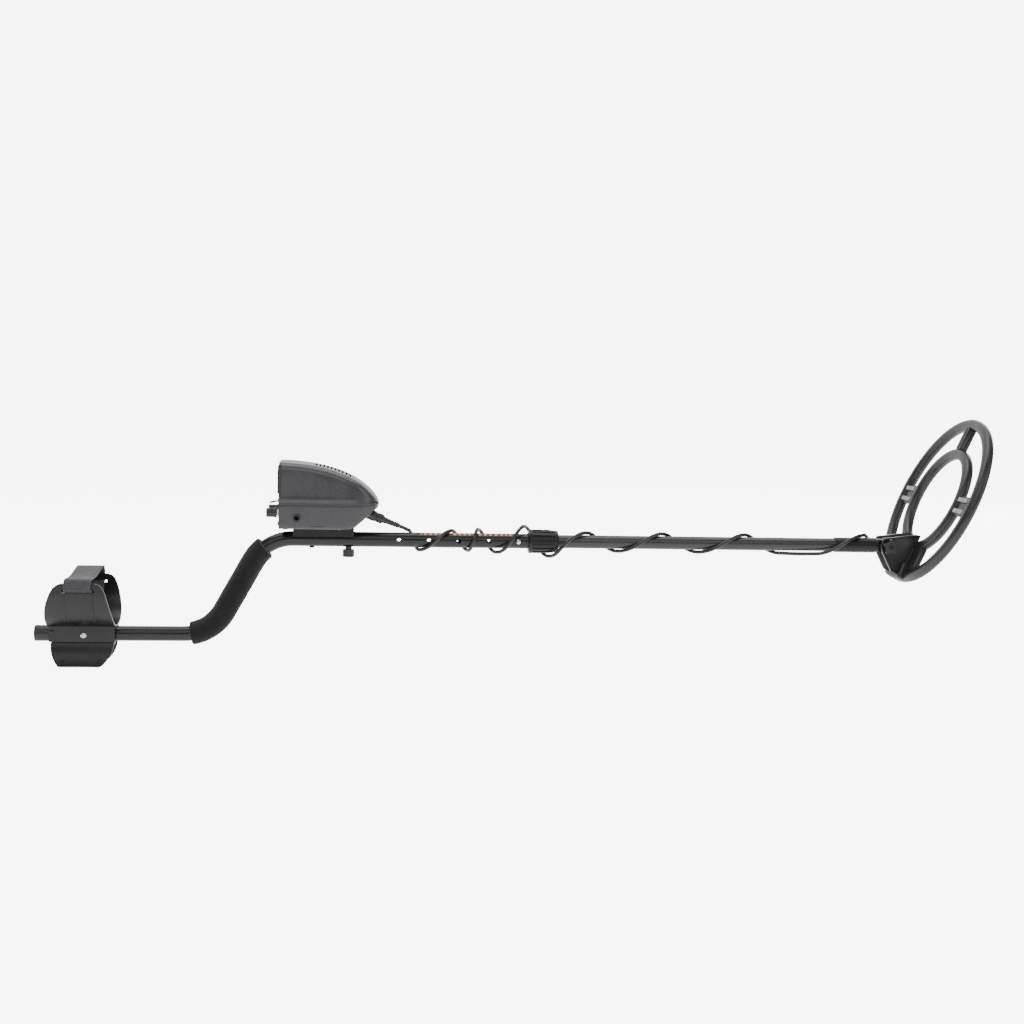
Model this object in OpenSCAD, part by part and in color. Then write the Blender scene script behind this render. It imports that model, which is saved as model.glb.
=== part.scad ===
// Metal detector with an S-bent stem, arm rest, control box, telescoping lower stem and a tilting coil.
// X runs forward along the stem, Z is up, and the operator's left hand side is +Y.

/* [Stem] */
// Outside diameter of the upper stem
stem_d = 20; // [19:0.5:22]
// Height of the upper stem above the rear stretch
drop = 129; // [110:1:140]
// Angle of the hand grip stretch above the horizontal
bend_angle = 61; // [55:1:66]
// Radius of both bends, on the tube's axis
bend_r = 60; // [50:1:65]
// Diameter of the lower stem
lower_d = 18; // [17:0.5:18.5]
// Distance between two length setting holes
hole_pitch = 40; // [30:1:42]
// Number of length setting holes
hole_count = 5; // [3:1:5]
// Diameter of the foam hand grip
grip_d = 31.4; // [28:0.2:36]

/* [Arm rest] */
// Outside width of the cuff
cuff_w = 96; // [86:1:110]
// Thickness of the moulded cuff
cuff_wall = 3; // [2:0.5:4]
// Height of the rear stretch's axis above the floor
foot_drop = 40; // [34:1:50]
// Width over the foot's two rails
foot_w = 58; // [50:1:70]
// Width of the arm strap
strap_w = 34; // [25:1:36]

/* [Control box] */
// Width of the control box
case_w = 84; // [74:1:96]
// Height of the control box
case_h = 87; // [80:1:95]
// Wall thickness of the control box
case_wall = 2.5; // [2:0.1:3]
// Diameter of the two control knobs
knob_d = 12; // [10:0.5:16]
// Diameter of the clamp knob under the stem
clamp_d = 15.6; // [14:0.2:20]

/* [Coil] */
// Outside diameter of the coil
coil_d = 246; // [220:1:260]
// Outside diameter of the coil's inner ring
inner_d = 156; // [140:1:165]
// Radial width of both rings
ring_w = 15; // [13:0.5:18]
// Thickness of the rings
ring_h = 14; // [12:0.5:16]
// Angle of the coil above the stem's direction
tilt = 66; // [40:1:80]
// Diameter of the coil lead
cable_d = 5; // [4.5:0.1:5.5]

/* [Hidden] */
$fn = 48;
stem_r = stem_d / 2;
bore_r = lower_d / 2 + 0.05;
lower_r = lower_d / 2;
lower_bore_r = lower_r - 1;
pivot_x = 1139;
sleeve_r = 10.3;
sleeve_start = 1066;
stem_stop = pivot_x - 18;
rear_end = -8;
first_hole = 467;
button_x = first_hole + (hole_count - 1) * hole_pitch;
hole_r = 3;
bend_reach = bend_r * tan(bend_angle / 2);
upper_corner = 291.2;
lower_corner = upper_corner - drop / tan(bend_angle);
slope_len = drop / sin(bend_angle) - 2 * bend_reach;
swell = 0.05;
lap = 0.5;
grip_from = 9;
grip_to = 37;
stem_end = 668;
collar_x = 641;
collar_len = 40;

// Arm rest
wing_top = 73;
cuff_r = cuff_w / 2;
cuff_z = stem_r - 1 + cuff_r;
cuff_x = [14, 104];
strap_mid = 56;
strap_t = 1.8;
slot_w = strap_w + 3;
slot_z = [61, 64.6];
screw_x = 56.7;
foot_screw_x = [31.5, 77];

// Control box
case_rear = 309.5;
case_low = 16.5;
case_top = case_low + case_h;
split_z = 48;
case_nose = 439;
panel_t = 3;
jack_x = 333;
jack_z = 32;
jack_r = 3.2;
knob_y = 24;
knob_z = 36.8;
shaft_r = 2;
toggle_z = 50.5;
toggle_rest = 11;
meter_z = 78;
meter_w = 54;
meter_h = 32;
clamp_x = 400;
clamp_hole_r = 2.55;
saddle_x = [327, 407];
saddle_screw_x = 351.6;
plug_x = 436;
plug_z = 30.5;
plug_tilt = 21;
boot_end = 33;
case_side = [[case_rear, case_low], [409, case_low], [435.8, 39.5], [case_nose, split_z],
    [435.5, 58], [424.5, 69.5], [413.5, 78], [402.5, 84], [387, 90], [369, 96],
    [350, 100.8], [330, case_top - 0.4], [case_rear, case_top]];
case_plan = [[case_rear, -case_w / 2], [390, -case_w / 2], [418, -case_w / 2 + 6],
    [433, -case_w / 2 + 16], [case_nose, -10], [case_nose, 10], [433, case_w / 2 - 16],
    [418, case_w / 2 - 6], [390, case_w / 2], [case_rear, case_w / 2]];
case_screw_x = [318, 388];
battery_low = [322, 18, 20];
battery_high = [376, case_w / 2, 45.5];

// Coil, in its own frame: X forward in the coil's plane, Z out of its top face, origin at its centre
coil_r = coil_d / 2;
inner_r = inner_d / 2;
pivot_back = 86;
pivot_up = 38;
coil_x = pivot_x + pivot_back * cos(tilt) + pivot_up * sin(tilt);
coil_z = pivot_back * sin(tilt) - pivot_up * cos(tilt);
half_h = ring_h / 2;
web_w = 72;
web_t = 5;
ear_y = [11, 16];
ear_outline = [[-116, 4], [-116, 20.5], [-97, 44], [-90, 50], [-79, 50], [-55, 10], [-54, 4]];
gland_u = -99;
gland_v = 30;
gland_top = 20;
gland_gap = 0.03;
bolt_r = 3;
spoke_w = 14;

// Placing of the whole object: the floor under the foot, and the middle of its length
floor_z = drop + foot_drop;
ring_corner = [[0, 0.30], [0.09, 0.62], [0.20, 0.83], [0.34, 0.96], [0.5, 1]];
function ring_half(ro) = [
    for (p = ring_corner) [ro - p[0] * ring_w, p[1] * half_h],
    for (i = [len(ring_corner) - 2:-1:0])
        [ro - ring_w + ring_corner[i][0] * ring_w, ring_corner[i][1] * half_h]];
coil_front = coil_x + max([for (p = ring_half(coil_r)) p[0] * cos(tilt) + p[1] * sin(tilt)]);
mid_x = (rear_end + coil_front) / 2;

// Coil lead: out of the plug, wound round both stems, then down to the gland on the coil.
// Each stop is [place along the stem, turns made round it, distance from its axis].
cable_r = cable_d / 2;
on_upper = stem_r + cable_r + 0.8;
on_lower = lower_r + cable_r + 0.8;
on_collar = 20.3;
lead_stops = [[479, 0.5, on_upper], [493, 1, on_upper], [537, 1.5, on_upper],
    [559, 2, on_upper], [572, 2.5, on_upper + 2], [596, 3, on_upper + 2],
    [634, 3.5, on_collar], [668, 4, on_collar], [684, 4.2, on_collar],
    [704, 4.36, on_lower + 1.2], [720, 4.5, on_lower], [761, 5, on_lower], [823, 5.5, on_lower],
    [872, 6, on_lower], [938, 6.5, on_lower], [985, 7, on_lower], [1046, 7.1, on_lower + 2],
    [1108, 7.5, on_lower + 1.8]];
ring_turn = 0.1;
plug_end = [plug_x + boot_end * cos(plug_tilt), 0, plug_z - boot_end * sin(plug_tilt)];
lead_start = [plug_end, plug_end + 5 * [cos(plug_tilt), 0, -sin(plug_tilt)]];
lead_low = gland_top + gland_gap;
gland_mouth = [coil_x + gland_u * cos(tilt) - lead_low * sin(tilt), gland_v,
    coil_z + gland_u * sin(tilt) + lead_low * cos(tilt)];
lead_tail = [[1114, 8.5, 11.8], [1119.5, 17, 6.5], [1126, 25, -1],
    gland_mouth + 11 * [-sin(tilt), 0, cos(tilt)],
    gland_mouth + 5 * [-sin(tilt), 0, cos(tilt)], gland_mouth];

function mix(a, b, t) = a + (b - a) * t;
function wound(s) = [s[0], -s[2] * sin(360 * s[1]), -s[2] * cos(360 * s[1])];
function steps_of(a, b) = max(2, ceil((b[1] - a[1]) / ring_turn - 0.01));
function winding(stops) = [
    for (i = [0:len(stops) - 2])
        let (n = steps_of(stops[i], stops[i + 1]))
            for (k = [0:n - 1]) wound(mix(stops[i], stops[i + 1], k / n)),
    wound(stops[len(stops) - 1])];
function unit(v) = v / norm(v);
function way_at(path, i) =
    unit(path[min(i + 1, len(path) - 1)] - path[max(i - 1, 0)]);
function side_at(path, i) = unit(cross(way_at(path, i), [0, path[i][1], path[i][2]]));
function ring_at(path, i, r, sides) =
    let (b = side_at(path, i), n = cross(b, way_at(path, i)))
        [for (k = [0:sides - 1])
            path[i] + r * (cos(360 * k / sides) * n + sin(360 * k / sides) * b)];

lead = concat(lead_start, winding(lead_stops), lead_tail);
collar_stop = len([for (p = lead) if (p[0] < 687) 1]);
tail_stop = len(lead) - len(lead_tail) - 1;

module place() { translate([-mid_x, 0, floor_z]) children(); }

module on_coil() { place() translate([coil_x, 0, coil_z]) rotate([0, -tilt, 0]) children(); }

module on_plug() { place() translate([plug_x, 0, plug_z]) rotate([0, 90 + plug_tilt, 0]) children(); }

module along_x(x, r, len) { translate([x, 0, 0]) rotate([0, 90, 0]) cylinder(r = r, h = len); }

module along_y(x, y, z, r, len) { translate([x, y, z]) rotate([-90, 0, 0]) cylinder(r = r, h = len); }

// A pipe's bend in the X-Z plane about its own centre, from angle a to angle b off straight down
module bend(x, z, a, b, r, bore) {
    translate([x, 0, z]) rotate([90, 0, 0]) rotate([0, 0, a - 90])
        rotate_extrude(angle = b - a) translate([bend_r, 0]) difference() {
            circle(r);
            if (bore > 0) circle(bore);
        }
}

module pipe(len, r, bore) {
    rotate([0, 90, 0]) difference() {
        cylinder(r = r, h = len);
        if (bore > 0) translate([0, 0, -1]) cylinder(r = bore, h = len + 2);
    }
}

// A screw's head and shank pointing down from z = 0
module screw(head_r, head_h, shank_r, len) {
    cylinder(r = head_r, h = head_h);
    translate([0, 0, -len]) cylinder(r = shank_r, h = len);
}

// A block with its cross-section in Y-Z given by points, running along X
module run_x(x0, x1) {
    translate([x0, 0, 0]) rotate([90, 0, 90]) linear_extrude(x1 - x0) children();
}

// A slab with its side view in X-Z given by points, running along Y
module run_y(y0, y1) {
    translate([0, y1, 0]) rotate([90, 0, 0]) linear_extrude(y1 - y0) children();
}

module box(lo, hi) { translate(lo) cube(hi - lo); }

// Stem

// The straight stretch between the two bends, reaching a little into each
module slope(r, bore) {
    translate([lower_corner + bend_reach * cos(bend_angle), 0, -drop + bend_reach * sin(bend_angle)])
        rotate([0, -bend_angle, 0]) translate([-lap, 0, 0]) pipe(slope_len + 2 * lap, r, bore);
}

module upper_stem() {
    color([0.09, 0.09, 0.095]) place() difference() {
        union() {
            translate([rear_end + 2, 0, -drop])
                pipe(lower_corner - bend_reach - rear_end - 2 + lap, stem_r, bore_r);
            bend(lower_corner - bend_reach, -drop + bend_r, 0, bend_angle,
                stem_r + swell, bore_r - swell);
            slope(stem_r, bore_r);
            bend(upper_corner + bend_reach, -bend_r, 180, 180 + bend_angle,
                stem_r + swell, bore_r - swell);
            translate([upper_corner + bend_reach - lap, 0, 0])
                pipe(stem_end - upper_corner - bend_reach + lap, stem_r, bore_r);
        }
        for (i = [0:hole_count - 1])
            along_y(first_hole + i * hole_pitch, -stem_r - 1, 0, hole_r, stem_d + 2);
        translate([clamp_x, 0, -stem_r - 1]) cylinder(r = clamp_hole_r, h = stem_d + 2);
        translate([saddle_screw_x, 0, -stem_r - 1]) cylinder(r = 2, h = stem_d + 2);
        along_y(screw_x, -stem_r - 1, -drop, 2.1, stem_d + 2);
    }
}

module tube_end_cap() {
    color([0.05, 0.05, 0.05]) place() translate([0, 0, -drop]) {
        difference() {
            along_x(rear_end, stem_r + 0.6, 21);
            along_x(rear_end + 2, stem_r, 30);
        }
        along_x(rear_end + 1, bore_r - 0.05, 15);
    }
}

module foam_grip() {
    grip_r = grip_d / 2;
    bore = stem_r + 0.15;
    color([0.07, 0.07, 0.075]) place() {
        bend(lower_corner - bend_reach, -drop + bend_r, grip_from, bend_angle,
            grip_r + swell, bore - swell);
        slope(grip_r, bore);
        bend(upper_corner + bend_reach, -bend_r, 180 + grip_to, 180 + bend_angle,
            grip_r + swell, bore - swell);
    }
}

module collet_bush() {
    color([0.08, 0.08, 0.085]) place() difference() {
        union() {
            along_x(collar_x + 3, 12.5, stem_end - collar_x - 3);
            along_x(stem_end, 11.2, 8);
        }
        along_x(collar_x, stem_r, stem_end - collar_x);
        along_x(stem_end - 1, bore_r, 12);
        for (a = [0:60:120]) rotate([a, 0, 0]) box([stem_end, -13, -0.6], [stem_end + 9, 13, 0.6]);
    }
}

module lock_collar() {
    ribs = 14;
    color([0.06, 0.06, 0.065]) place() translate([collar_x, 0, 0]) rotate([0, 90, 0]) difference() {
        union() {
            rotate_extrude() polygon([[11, 0], [15.4, 0], [16.4, 1], [16.4, 4], [15.2, 5],
                [14.3, 34], [15, 35], [14.6, 39], [13.8, collar_len], [11, collar_len]]);
            for (i = [0:ribs - 1]) rotate([0, 0, i * 360 / ribs])
                translate([14, -1, 4.5]) cube([1.7, 2, 30]);
        }
        translate([0, 0, -1]) cylinder(r = 12.55, h = 37);
        translate([0, 0, 35]) cylinder(r = lower_r + 0.4, h = 8);
    }
}

module lower_stem() {
    color([0.09, 0.09, 0.095]) place() difference() {
        translate([600, 0, 0]) pipe(stem_stop - 600, lower_r, lower_bore_r);
        along_y(button_x, -lower_r - 1, 0, hole_r, lower_r);
    }
}

module button_spring() {
    width = 5;
    color([0.7, 0.7, 0.72]) place() translate([0, 0, -width / 2])
        linear_extrude(width) polygon([[634, -5.9], [622, -5.9], [608, -5.2], [604, 0], [607, 6.4],
            [634, 7.4], [634, 6.9], [608, 5.8], [604.8, 0], [608.6, -4.7], [622, -5.4], [634, -5.4]]);
}

module snap_button() {
    color([0.75, 0.75, 0.77]) place() {
        translate([button_x, -6, 0]) rotate([90, 0, 0]) rotate_extrude()
            polygon([[0, 0], [3.3, 0], [3.3, 0.8], [2.94, 0.8], [2.94, 5], [2.5, 5.8], [1.6, 6.3], [0, 6.5]]);
    }
}

// Arm rest

module cuff_section() {
    difference() {
        union() {
            translate([0, cuff_z]) circle(cuff_r, $fn = 72);
            translate([-cuff_r, cuff_z]) square([cuff_w, wing_top - cuff_z]);
            translate([-16, -stem_r + 0.5]) square([32, 20]);
        }
        translate([0, cuff_z]) circle(cuff_r - cuff_wall, $fn = 72);
        translate([-cuff_r + cuff_wall, cuff_z]) square([cuff_w - 2 * cuff_wall, 200]);
        translate([-cuff_r - 1, wing_top]) square([cuff_w + 2, 200]);
        circle(stem_r + 0.05);
        translate([-stem_r - 0.05, -20]) square([2 * stem_r + 0.1, 20]);
    }
}

module arm_cuff() {
    color([0.1, 0.1, 0.105]) place() translate([0, 0, -drop]) difference() {
        intersection() {
            run_x(cuff_x[0], cuff_x[1]) cuff_section();
            run_y(-cuff_r - 1, cuff_r + 1) polygon([[14, -10], [14, 14], [15.5, 32], [19, 52],
                [24, 66], [30, wing_top + 1], [83, wing_top + 1], [90, 64], [95.5, 46],
                [100, 24], [104, 12], [104, -10]]);
        }
        for (side = [-1, 1])
            box([strap_mid - slot_w / 2, side * (cuff_r - 1.5) - 4, slot_z[0]],
                [strap_mid + slot_w / 2, side * (cuff_r - 1.5) + 4, slot_z[1]]);
        along_y(screw_x, -20, 0, 2.1, 40);
    }
}

module cuff_bolt() {
    color([0.75, 0.75, 0.76]) place() translate([screw_x, -16, -drop]) rotate([90, 0, 0])
        difference() {
            union() {
                rotate_extrude() polygon([[0, 0], [4.3, 0], [4.1, 1.2], [3, 2.2], [0, 2.6]]);
                translate([0, 0, -36]) cylinder(r = 2, h = 36);
            }
            for (a = [0, 90]) rotate([0, 0, a]) translate([-2, -0.4, 1.6]) cube([4, 0.8, 2]);
        }
}

module cuff_nut() {
    color([0.7, 0.7, 0.71]) place() translate([screw_x, 16, -drop]) rotate([-90, 0, 0])
        difference() {
            cylinder(r = 4, h = 3.4, $fn = 6);
            translate([0, 0, -1]) cylinder(r = 2, h = 6);
        }
}

// The foot is an inverted channel that flares out to two rails
module arm_foot() {
    half = foot_w / 2;
    color([0.11, 0.11, 0.115]) place() translate([0, 0, -drop]) intersection() {
        run_x(cuff_x[0], cuff_x[1] + 1) difference() {
            polygon([[-16.5, -stem_r + 0.4], [-17.5, -18], [-21, -30], [-half, -foot_drop + 3],
                [-half, -foot_drop], [half, -foot_drop], [half, -foot_drop + 3], [21, -30],
                [17.5, -18], [16.5, -stem_r + 0.4]]);
            polygon([[-12.5, -stem_r - 4], [-14, -18], [-17.5, -31], [-half + 7, -foot_drop - 1],
                [half - 7, -foot_drop - 1], [17.5, -31], [14, -18], [12.5, -stem_r - 4]]);
            circle(stem_r + 0.05);
        }
        difference() {
            run_y(-half - 1, half + 1) polygon([[19, -9], [17, -16], [20, -27], [27, -foot_drop],
                [81, -foot_drop], [88, -29], [94, -18], [101, -9]]);
            for (x = foot_screw_x) along_y(x, -half, -33, 1.75, foot_w);
        }
    }
}

module foot_screws() {
    color([0.6, 0.6, 0.61]) place() for (x = foot_screw_x, side = [-1, 1])
        along_y(x, side * 20.8 - 2, -drop - 33, 1.7, 4);
}

// Band of webbing: over the arm space, round the near wing's bar, and out through the far wing
strap_half = [[39, 50], [43, 58], [44.2, 62.8], [50.6, 62.8], [51.2, 72.4], [47, 76.2], [38, 79.4],
    [20, 86.5]];
strap_line = concat([for (p = strap_half) [-p[0], p[1]]], [[0, 89]],
    [for (i = [len(strap_half) - 1:-1:0]) strap_half[i]]);
function edge_normal(a, b) = unit([a[1] - b[1], b[0] - a[0]]);
function band_edge(line, t) = [
    for (i = [0:len(line) - 1])
        let (m = i == 0 ? edge_normal(line[0], line[1])
            : i == len(line) - 1 ? edge_normal(line[i - 1], line[i])
            : unit(edge_normal(line[i - 1], line[i]) + edge_normal(line[i], line[i + 1])))
            line[i] + t * m];

module arm_strap() {
    there = band_edge(strap_line, strap_t / 2);
    back = band_edge(strap_line, -strap_t / 2);
    color([0.13, 0.13, 0.14]) place() translate([0, 0, -drop])
        run_x(strap_mid - strap_w / 2, strap_mid + strap_w / 2)
            polygon(concat(there, [for (i = [len(back) - 1:-1:0]) back[i]]));
}

// Control box

module box_saddle() {
    color([0.07, 0.07, 0.075]) place() difference() {
        run_x(saddle_x[0], saddle_x[1]) difference() {
            translate([-14, 4]) square([28, case_low - 4]);
            circle(stem_r + 0.05);
        }
        translate([clamp_x, 0, 0]) cylinder(r = clamp_hole_r, h = 40);
        translate([saddle_screw_x, 0, 0]) cylinder(r = 2, h = 14);
    }
}

module saddle_screw() {
    color([0.1, 0.1, 0.1]) place() translate([saddle_screw_x, 0, -stem_r - 0.05]) rotate([180, 0, 0])
        screw(3.6, 1.6, 2, 23);
}

module clamp_knob() {
    flutes = 12;
    knob_low = -23.5;
    knob_high = -13.8;
    color([0.08, 0.08, 0.085]) place() difference() {
        union() {
            translate([clamp_x, 0, knob_low]) cylinder(r = clamp_d / 2, h = knob_high - knob_low);
            translate([clamp_x, 0, knob_high]) cylinder(r = 4.4, h = -stem_r - 0.2 - knob_high);
            translate([clamp_x, 0, knob_high]) cylinder(r = 2.5, h = 38);
        }
        for (i = [0:flutes - 1]) translate([clamp_x, 0, 0]) rotate([0, 0, i * 360 / flutes])
            translate([clamp_d / 2 + 0.5, 0, knob_low - 1]) cylinder(r = 1.1, h = knob_high - knob_low - 1);
    }
}

module clamp_nut() {
    color([0.7, 0.7, 0.71]) place() translate([clamp_x, 0, case_low + case_wall]) difference() {
        cylinder(r = 4.6, h = 4, $fn = 6);
        translate([0, 0, -1]) cylinder(r = 2.55, h = 6);
    }
}

module case_body(inset) {
    intersection() {
        run_y(-case_w / 2 - 1, case_w / 2 + 1) offset(delta = -inset) polygon(case_side);
        linear_extrude(200, center = true) offset(delta = -inset) polygon(case_plan);
    }
}

module case_shell() {
    difference() {
        case_body(0);
        case_body(case_wall);
        box([case_rear - 1, -case_w / 2 + case_wall, case_low + case_wall],
            [case_rear + 6, case_w / 2 - case_wall, case_top - case_wall]);
    }
}

module upper_case() {
    louvres = 10;
    color([0.13, 0.13, 0.14]) place() difference() {
        intersection() {
            case_shell();
            box([300, -60, split_z], [450, 60, 120]);
        }
        for (i = [0:louvres - 1]) translate([357 + i * 4.9, 0, 90])
            cube([2.2, 40, 30], center = true);
    }
}

module lower_case() {
    color([0.13, 0.13, 0.14]) place() difference() {
        union() {
            intersection() {
                case_shell();
                box([300, -60, 0], [450, 60, split_z]);
            }
            intersection() {
                translate([plug_x, 0, plug_z]) rotate([0, 90 + plug_tilt, 0])
                    translate([0, 0, -16]) cylinder(r = 10, h = 15);
                box([300, -60, case_low], [450, 60, split_z]);
            }
        }
        translate([plug_x, 0, plug_z]) rotate([0, 90 + plug_tilt, 0])
            translate([0, 0, -30]) cylinder(r = 7.05, h = 40);
        along_y(jack_x, -case_w / 2 - 1, jack_z, 5, 6);
        box(battery_low + [-1, 15, -1], battery_high + [1, 1, 1]);
        for (side = [-1, 1], x = case_screw_x)
            translate([x, side * 30, case_low - 1]) cylinder(r = 1.2, h = case_wall + 2);
        translate([clamp_x, 0, 0]) cylinder(r = clamp_hole_r, h = 30);
    }
}

module rear_panel() {
    y = case_w / 2 - case_wall;
    color([0.05, 0.05, 0.055]) place() difference() {
        box([case_rear, -y, case_low + case_wall], [case_rear + panel_t, y, case_top - case_wall]);
        box([case_rear - 1, -meter_w / 2, meter_z - meter_h / 2],
            [case_rear + 9, meter_w / 2, meter_z + meter_h / 2]);
        for (side = [-1, 1]) translate([0, side * knob_y, knob_z]) along_x(case_rear - 1, 3.6, 6);
        translate([0, 0, toggle_z]) along_x(case_rear - 1, 3.1, 6);
        for (side = [-1, 1], z = [24, 97]) translate([0, side * 36, z]) along_x(case_rear - 1, 1.4, 6);
    }
}

module panel_screws() {
    color([0.6, 0.6, 0.61]) place() for (side = [-1, 1], z = [24, 97])
        translate([case_rear, side * 36, z]) rotate([0, -90, 0]) screw(2.7, 1.2, 1.4, 9);
}

module case_screws() {
    color([0.6, 0.6, 0.61]) place() for (side = [-1, 1], x = case_screw_x)
        translate([x, side * 30, case_low]) rotate([180, 0, 0]) screw(3, 0.9, 1.2, case_wall - 0.2);
}

module meter_case() {
    back = case_rear + 20;
    color([0.04, 0.04, 0.045]) place() difference() {
        box([case_rear - 2.5, -meter_w / 2, meter_z - meter_h / 2],
            [back, meter_w / 2, meter_z + meter_h / 2]);
        box([case_rear - 4, -meter_w / 2 + 3, meter_z - meter_h / 2 + 3],
            [back - 2, meter_w / 2 - 3, meter_z + meter_h / 2 - 3]);
    }
}

module meter_dial() {
    color([0.9, 0.9, 0.86]) place()
        box([case_rear + 6, -meter_w / 2 + 3, meter_z - meter_h / 2 + 3],
            [case_rear + 7, meter_w / 2 - 3, meter_z + meter_h / 2 - 3]);
}

module meter_lens() {
    color([0.8, 0.85, 0.88, 0.4]) place()
        box([case_rear - 1.8, -meter_w / 2 + 3, meter_z - meter_h / 2 + 3],
            [case_rear - 0.3, meter_w / 2 - 3, meter_z + meter_h / 2 - 3]);
}

// The needle stands at the left end of its dial at rest and turns about X
module meter_needle() {
    hub_z = meter_z - meter_h / 2 + 6;
    color([0.75, 0.1, 0.08]) place() translate([case_rear + 2.4, 0, hub_z]) {
        along_x(0, 2, 3.2);
        rotate([-42, 0, 0]) box([1.2, -0.3, 1.5], [1.8, 0.3, 19]);
    }
}

module toggle_switch() {
    color([0.55, 0.55, 0.57]) place() translate([0, 0, toggle_z]) difference() {
        union() {
            along_x(case_rear - 3.5, 3, panel_t + 3.5);
            translate([case_rear + panel_t, -4, -3.6]) cube([12, 8, 7.2]);
            translate([case_rear - 2, 0, 0]) rotate([0, 90, 0]) cylinder(r = 4.6, h = 2, $fn = 6);
        }
        along_x(case_rear - 5, 2.4, 8);
    }
}

module toggle_lever() {
    color([0.75, 0.75, 0.77]) place() translate([case_rear - 1, 0, toggle_z]) rotate([0, -toggle_rest, 0])
        rotate([0, -90, 0]) {
            along_y(0, -1, 0, 1.2, 2);
            cylinder(r1 = 0.9, r2 = 1.5, h = 12.6);
        }
}

module potentiometers() {
    color([0.6, 0.6, 0.62]) place() for (side = [-1, 1]) translate([0, side * knob_y, knob_z]) difference() {
        union() {
            along_x(case_rear - 2.4, 3.5, panel_t + 2.4);
            along_x(case_rear + panel_t, 8, 9);
            translate([case_rear - 1.8, 0, 0]) rotate([0, 90, 0]) cylinder(r = 5, h = 1.8, $fn = 6);
        }
        along_x(case_rear - 5, shaft_r + 0.05, panel_t + 10);
    }
}

module shaft(side) {
    color([0.7, 0.7, 0.72]) place() translate([0, side * knob_y, knob_z]) along_x(case_rear - 14, shaft_r, 19);
}

module left_shaft() { shaft(1); }

module right_shaft() { shaft(-1); }

module knob(side) {
    flutes = 16;
    color([0.06, 0.06, 0.065]) place() translate([case_rear - 16.6, side * knob_y, knob_z])
        rotate([0, 90, 0]) difference() {
            union() {
                cylinder(r = knob_d / 2, h = 11);
                translate([0, 0, 11]) cylinder(r = knob_d / 2 + 0.8, h = 2.6);
            }
            translate([0, 0, 2.6]) cylinder(r = shaft_r, h = 20);
            for (i = [0:flutes - 1]) rotate([0, 0, i * 360 / flutes])
                translate([knob_d / 2 + 0.25, 0, -1]) cylinder(r = 0.6, h = 11);
        }
}

module left_knob() { knob(1); }

module right_knob() { knob(-1); }

module circuit_board() {
    color([0.06, 0.3, 0.14]) place() {
        box([334, -34, 50], [404, 34, 51.6]);
        for (x = [344, 362, 380]) box([x, -16, 51.6], [x + 10, -4, 55]);
        for (x = [350, 370]) translate([x, 14, 51.6]) cylinder(r = 4, h = 11);
    }
}

module speaker() {
    color([0.2, 0.2, 0.21]) place() translate([377, 0, 70]) rotate([0, 20, 0]) difference() {
        union() {
            translate([0, 0, 6]) cylinder(r = 19, h = 2);
            cylinder(r1 = 9, r2 = 18, h = 6);
            translate([0, 0, -5]) cylinder(r = 9, h = 5);
        }
        translate([0, 0, 3]) cylinder(r1 = 6, r2 = 17, h = 6);
    }
}

module batteries() {
    color([0.25, 0.25, 0.28]) place() for (y = [2.5, 20.3])
        box([323.5, y, 20], [372, y + 17.5, 46]);
}

module battery_door() {
    color([0.13, 0.13, 0.14]) place() difference() {
        box([battery_low[0] - 0.7, case_w / 2 - case_wall + 0.1, battery_low[2] - 0.7],
            [battery_high[0] + 0.7, case_w / 2 - 0.2, battery_high[2] + 0.7]);
        for (i = [0:4]) box([325 + i * 3.4, case_w / 2 - 1, 26], [326.4 + i * 3.4, case_w / 2 + 1, 38]);
    }
}

module headphone_jack() {
    color([0.05, 0.05, 0.05]) place() difference() {
        union() {
            along_y(jack_x, -case_w / 2 - 0.8, jack_z, 4.9, 4);
            box([jack_x - 6, -case_w / 2 + case_wall + 0.1, jack_z - 6], [jack_x + 6, -case_w / 2 + 20, jack_z + 6]);
        }
        along_y(jack_x, -case_w / 2 - 2, jack_z, jack_r, 18);
    }
}

module coil_socket() {
    color([0.3, 0.3, 0.31]) on_plug() difference() {
        union() {
            translate([0, 0, -20]) cylinder(r = 7, h = 20);
            translate([0, 0, -24]) cylinder(r = 5, h = 4);
        }
        translate([0, 0, -12]) cylinder(r = 5.05, h = 20);
    }
}

module coil_plug() {
    color([0.1, 0.1, 0.105]) on_plug() difference() {
        union() {
            translate([0, 0, -11.9]) cylinder(r = 5, h = 22);
            translate([0, 0, 10.1]) cylinder(r1 = 5, r2 = 3.9, h = 2.9);
        }
        translate([0, 0, -13]) cylinder(r = 3.4, h = 8);
    }
}

module plug_ring() {
    ribs = 12;
    color([0.12, 0.12, 0.125]) on_plug() difference() {
        union() {
            translate([0, 0, 0.3]) cylinder(r = 6, h = 9.4);
            for (i = [0:ribs - 1]) rotate([0, 0, i * 360 / ribs]) translate([5.6, -0.6, 1.2]) cube([0.9, 1.2, 7.4]);
        }
        translate([0, 0, -1]) cylinder(r = 5.05, h = 14);
    }
}

module plug_boot() {
    color([0.07, 0.07, 0.07]) on_plug() rotate_extrude() polygon([[0, 13], [4.2, 13], [4.2, 16],
        [cable_r + 0.9, boot_end - 1], [cable_r + 0.5, boot_end], [0, boot_end]]);
}

// Coil

// A ring's cross-section above the middle plane, with the channel that its winding lies in
module ring_section(ro) {
    channel = 4.2;
    difference() {
        polygon(concat([[ro, 0]], ring_half(ro), [[ro - ring_w, 0]]));
        translate([ro - ring_w / 2 - channel, -1]) square([2 * channel, 1 + channel]);
    }
}

module web() {
    intersection() {
        translate([-coil_r, -web_w / 2, 0]) cube([coil_r, web_w, web_t]);
        difference() {
            cylinder(r = coil_r - ring_w + 0.5, h = 20, $fn = 96);
            translate([0, 0, -1]) cylinder(r = inner_r - 0.5, h = 30, $fn = 96);
        }
    }
}

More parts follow.
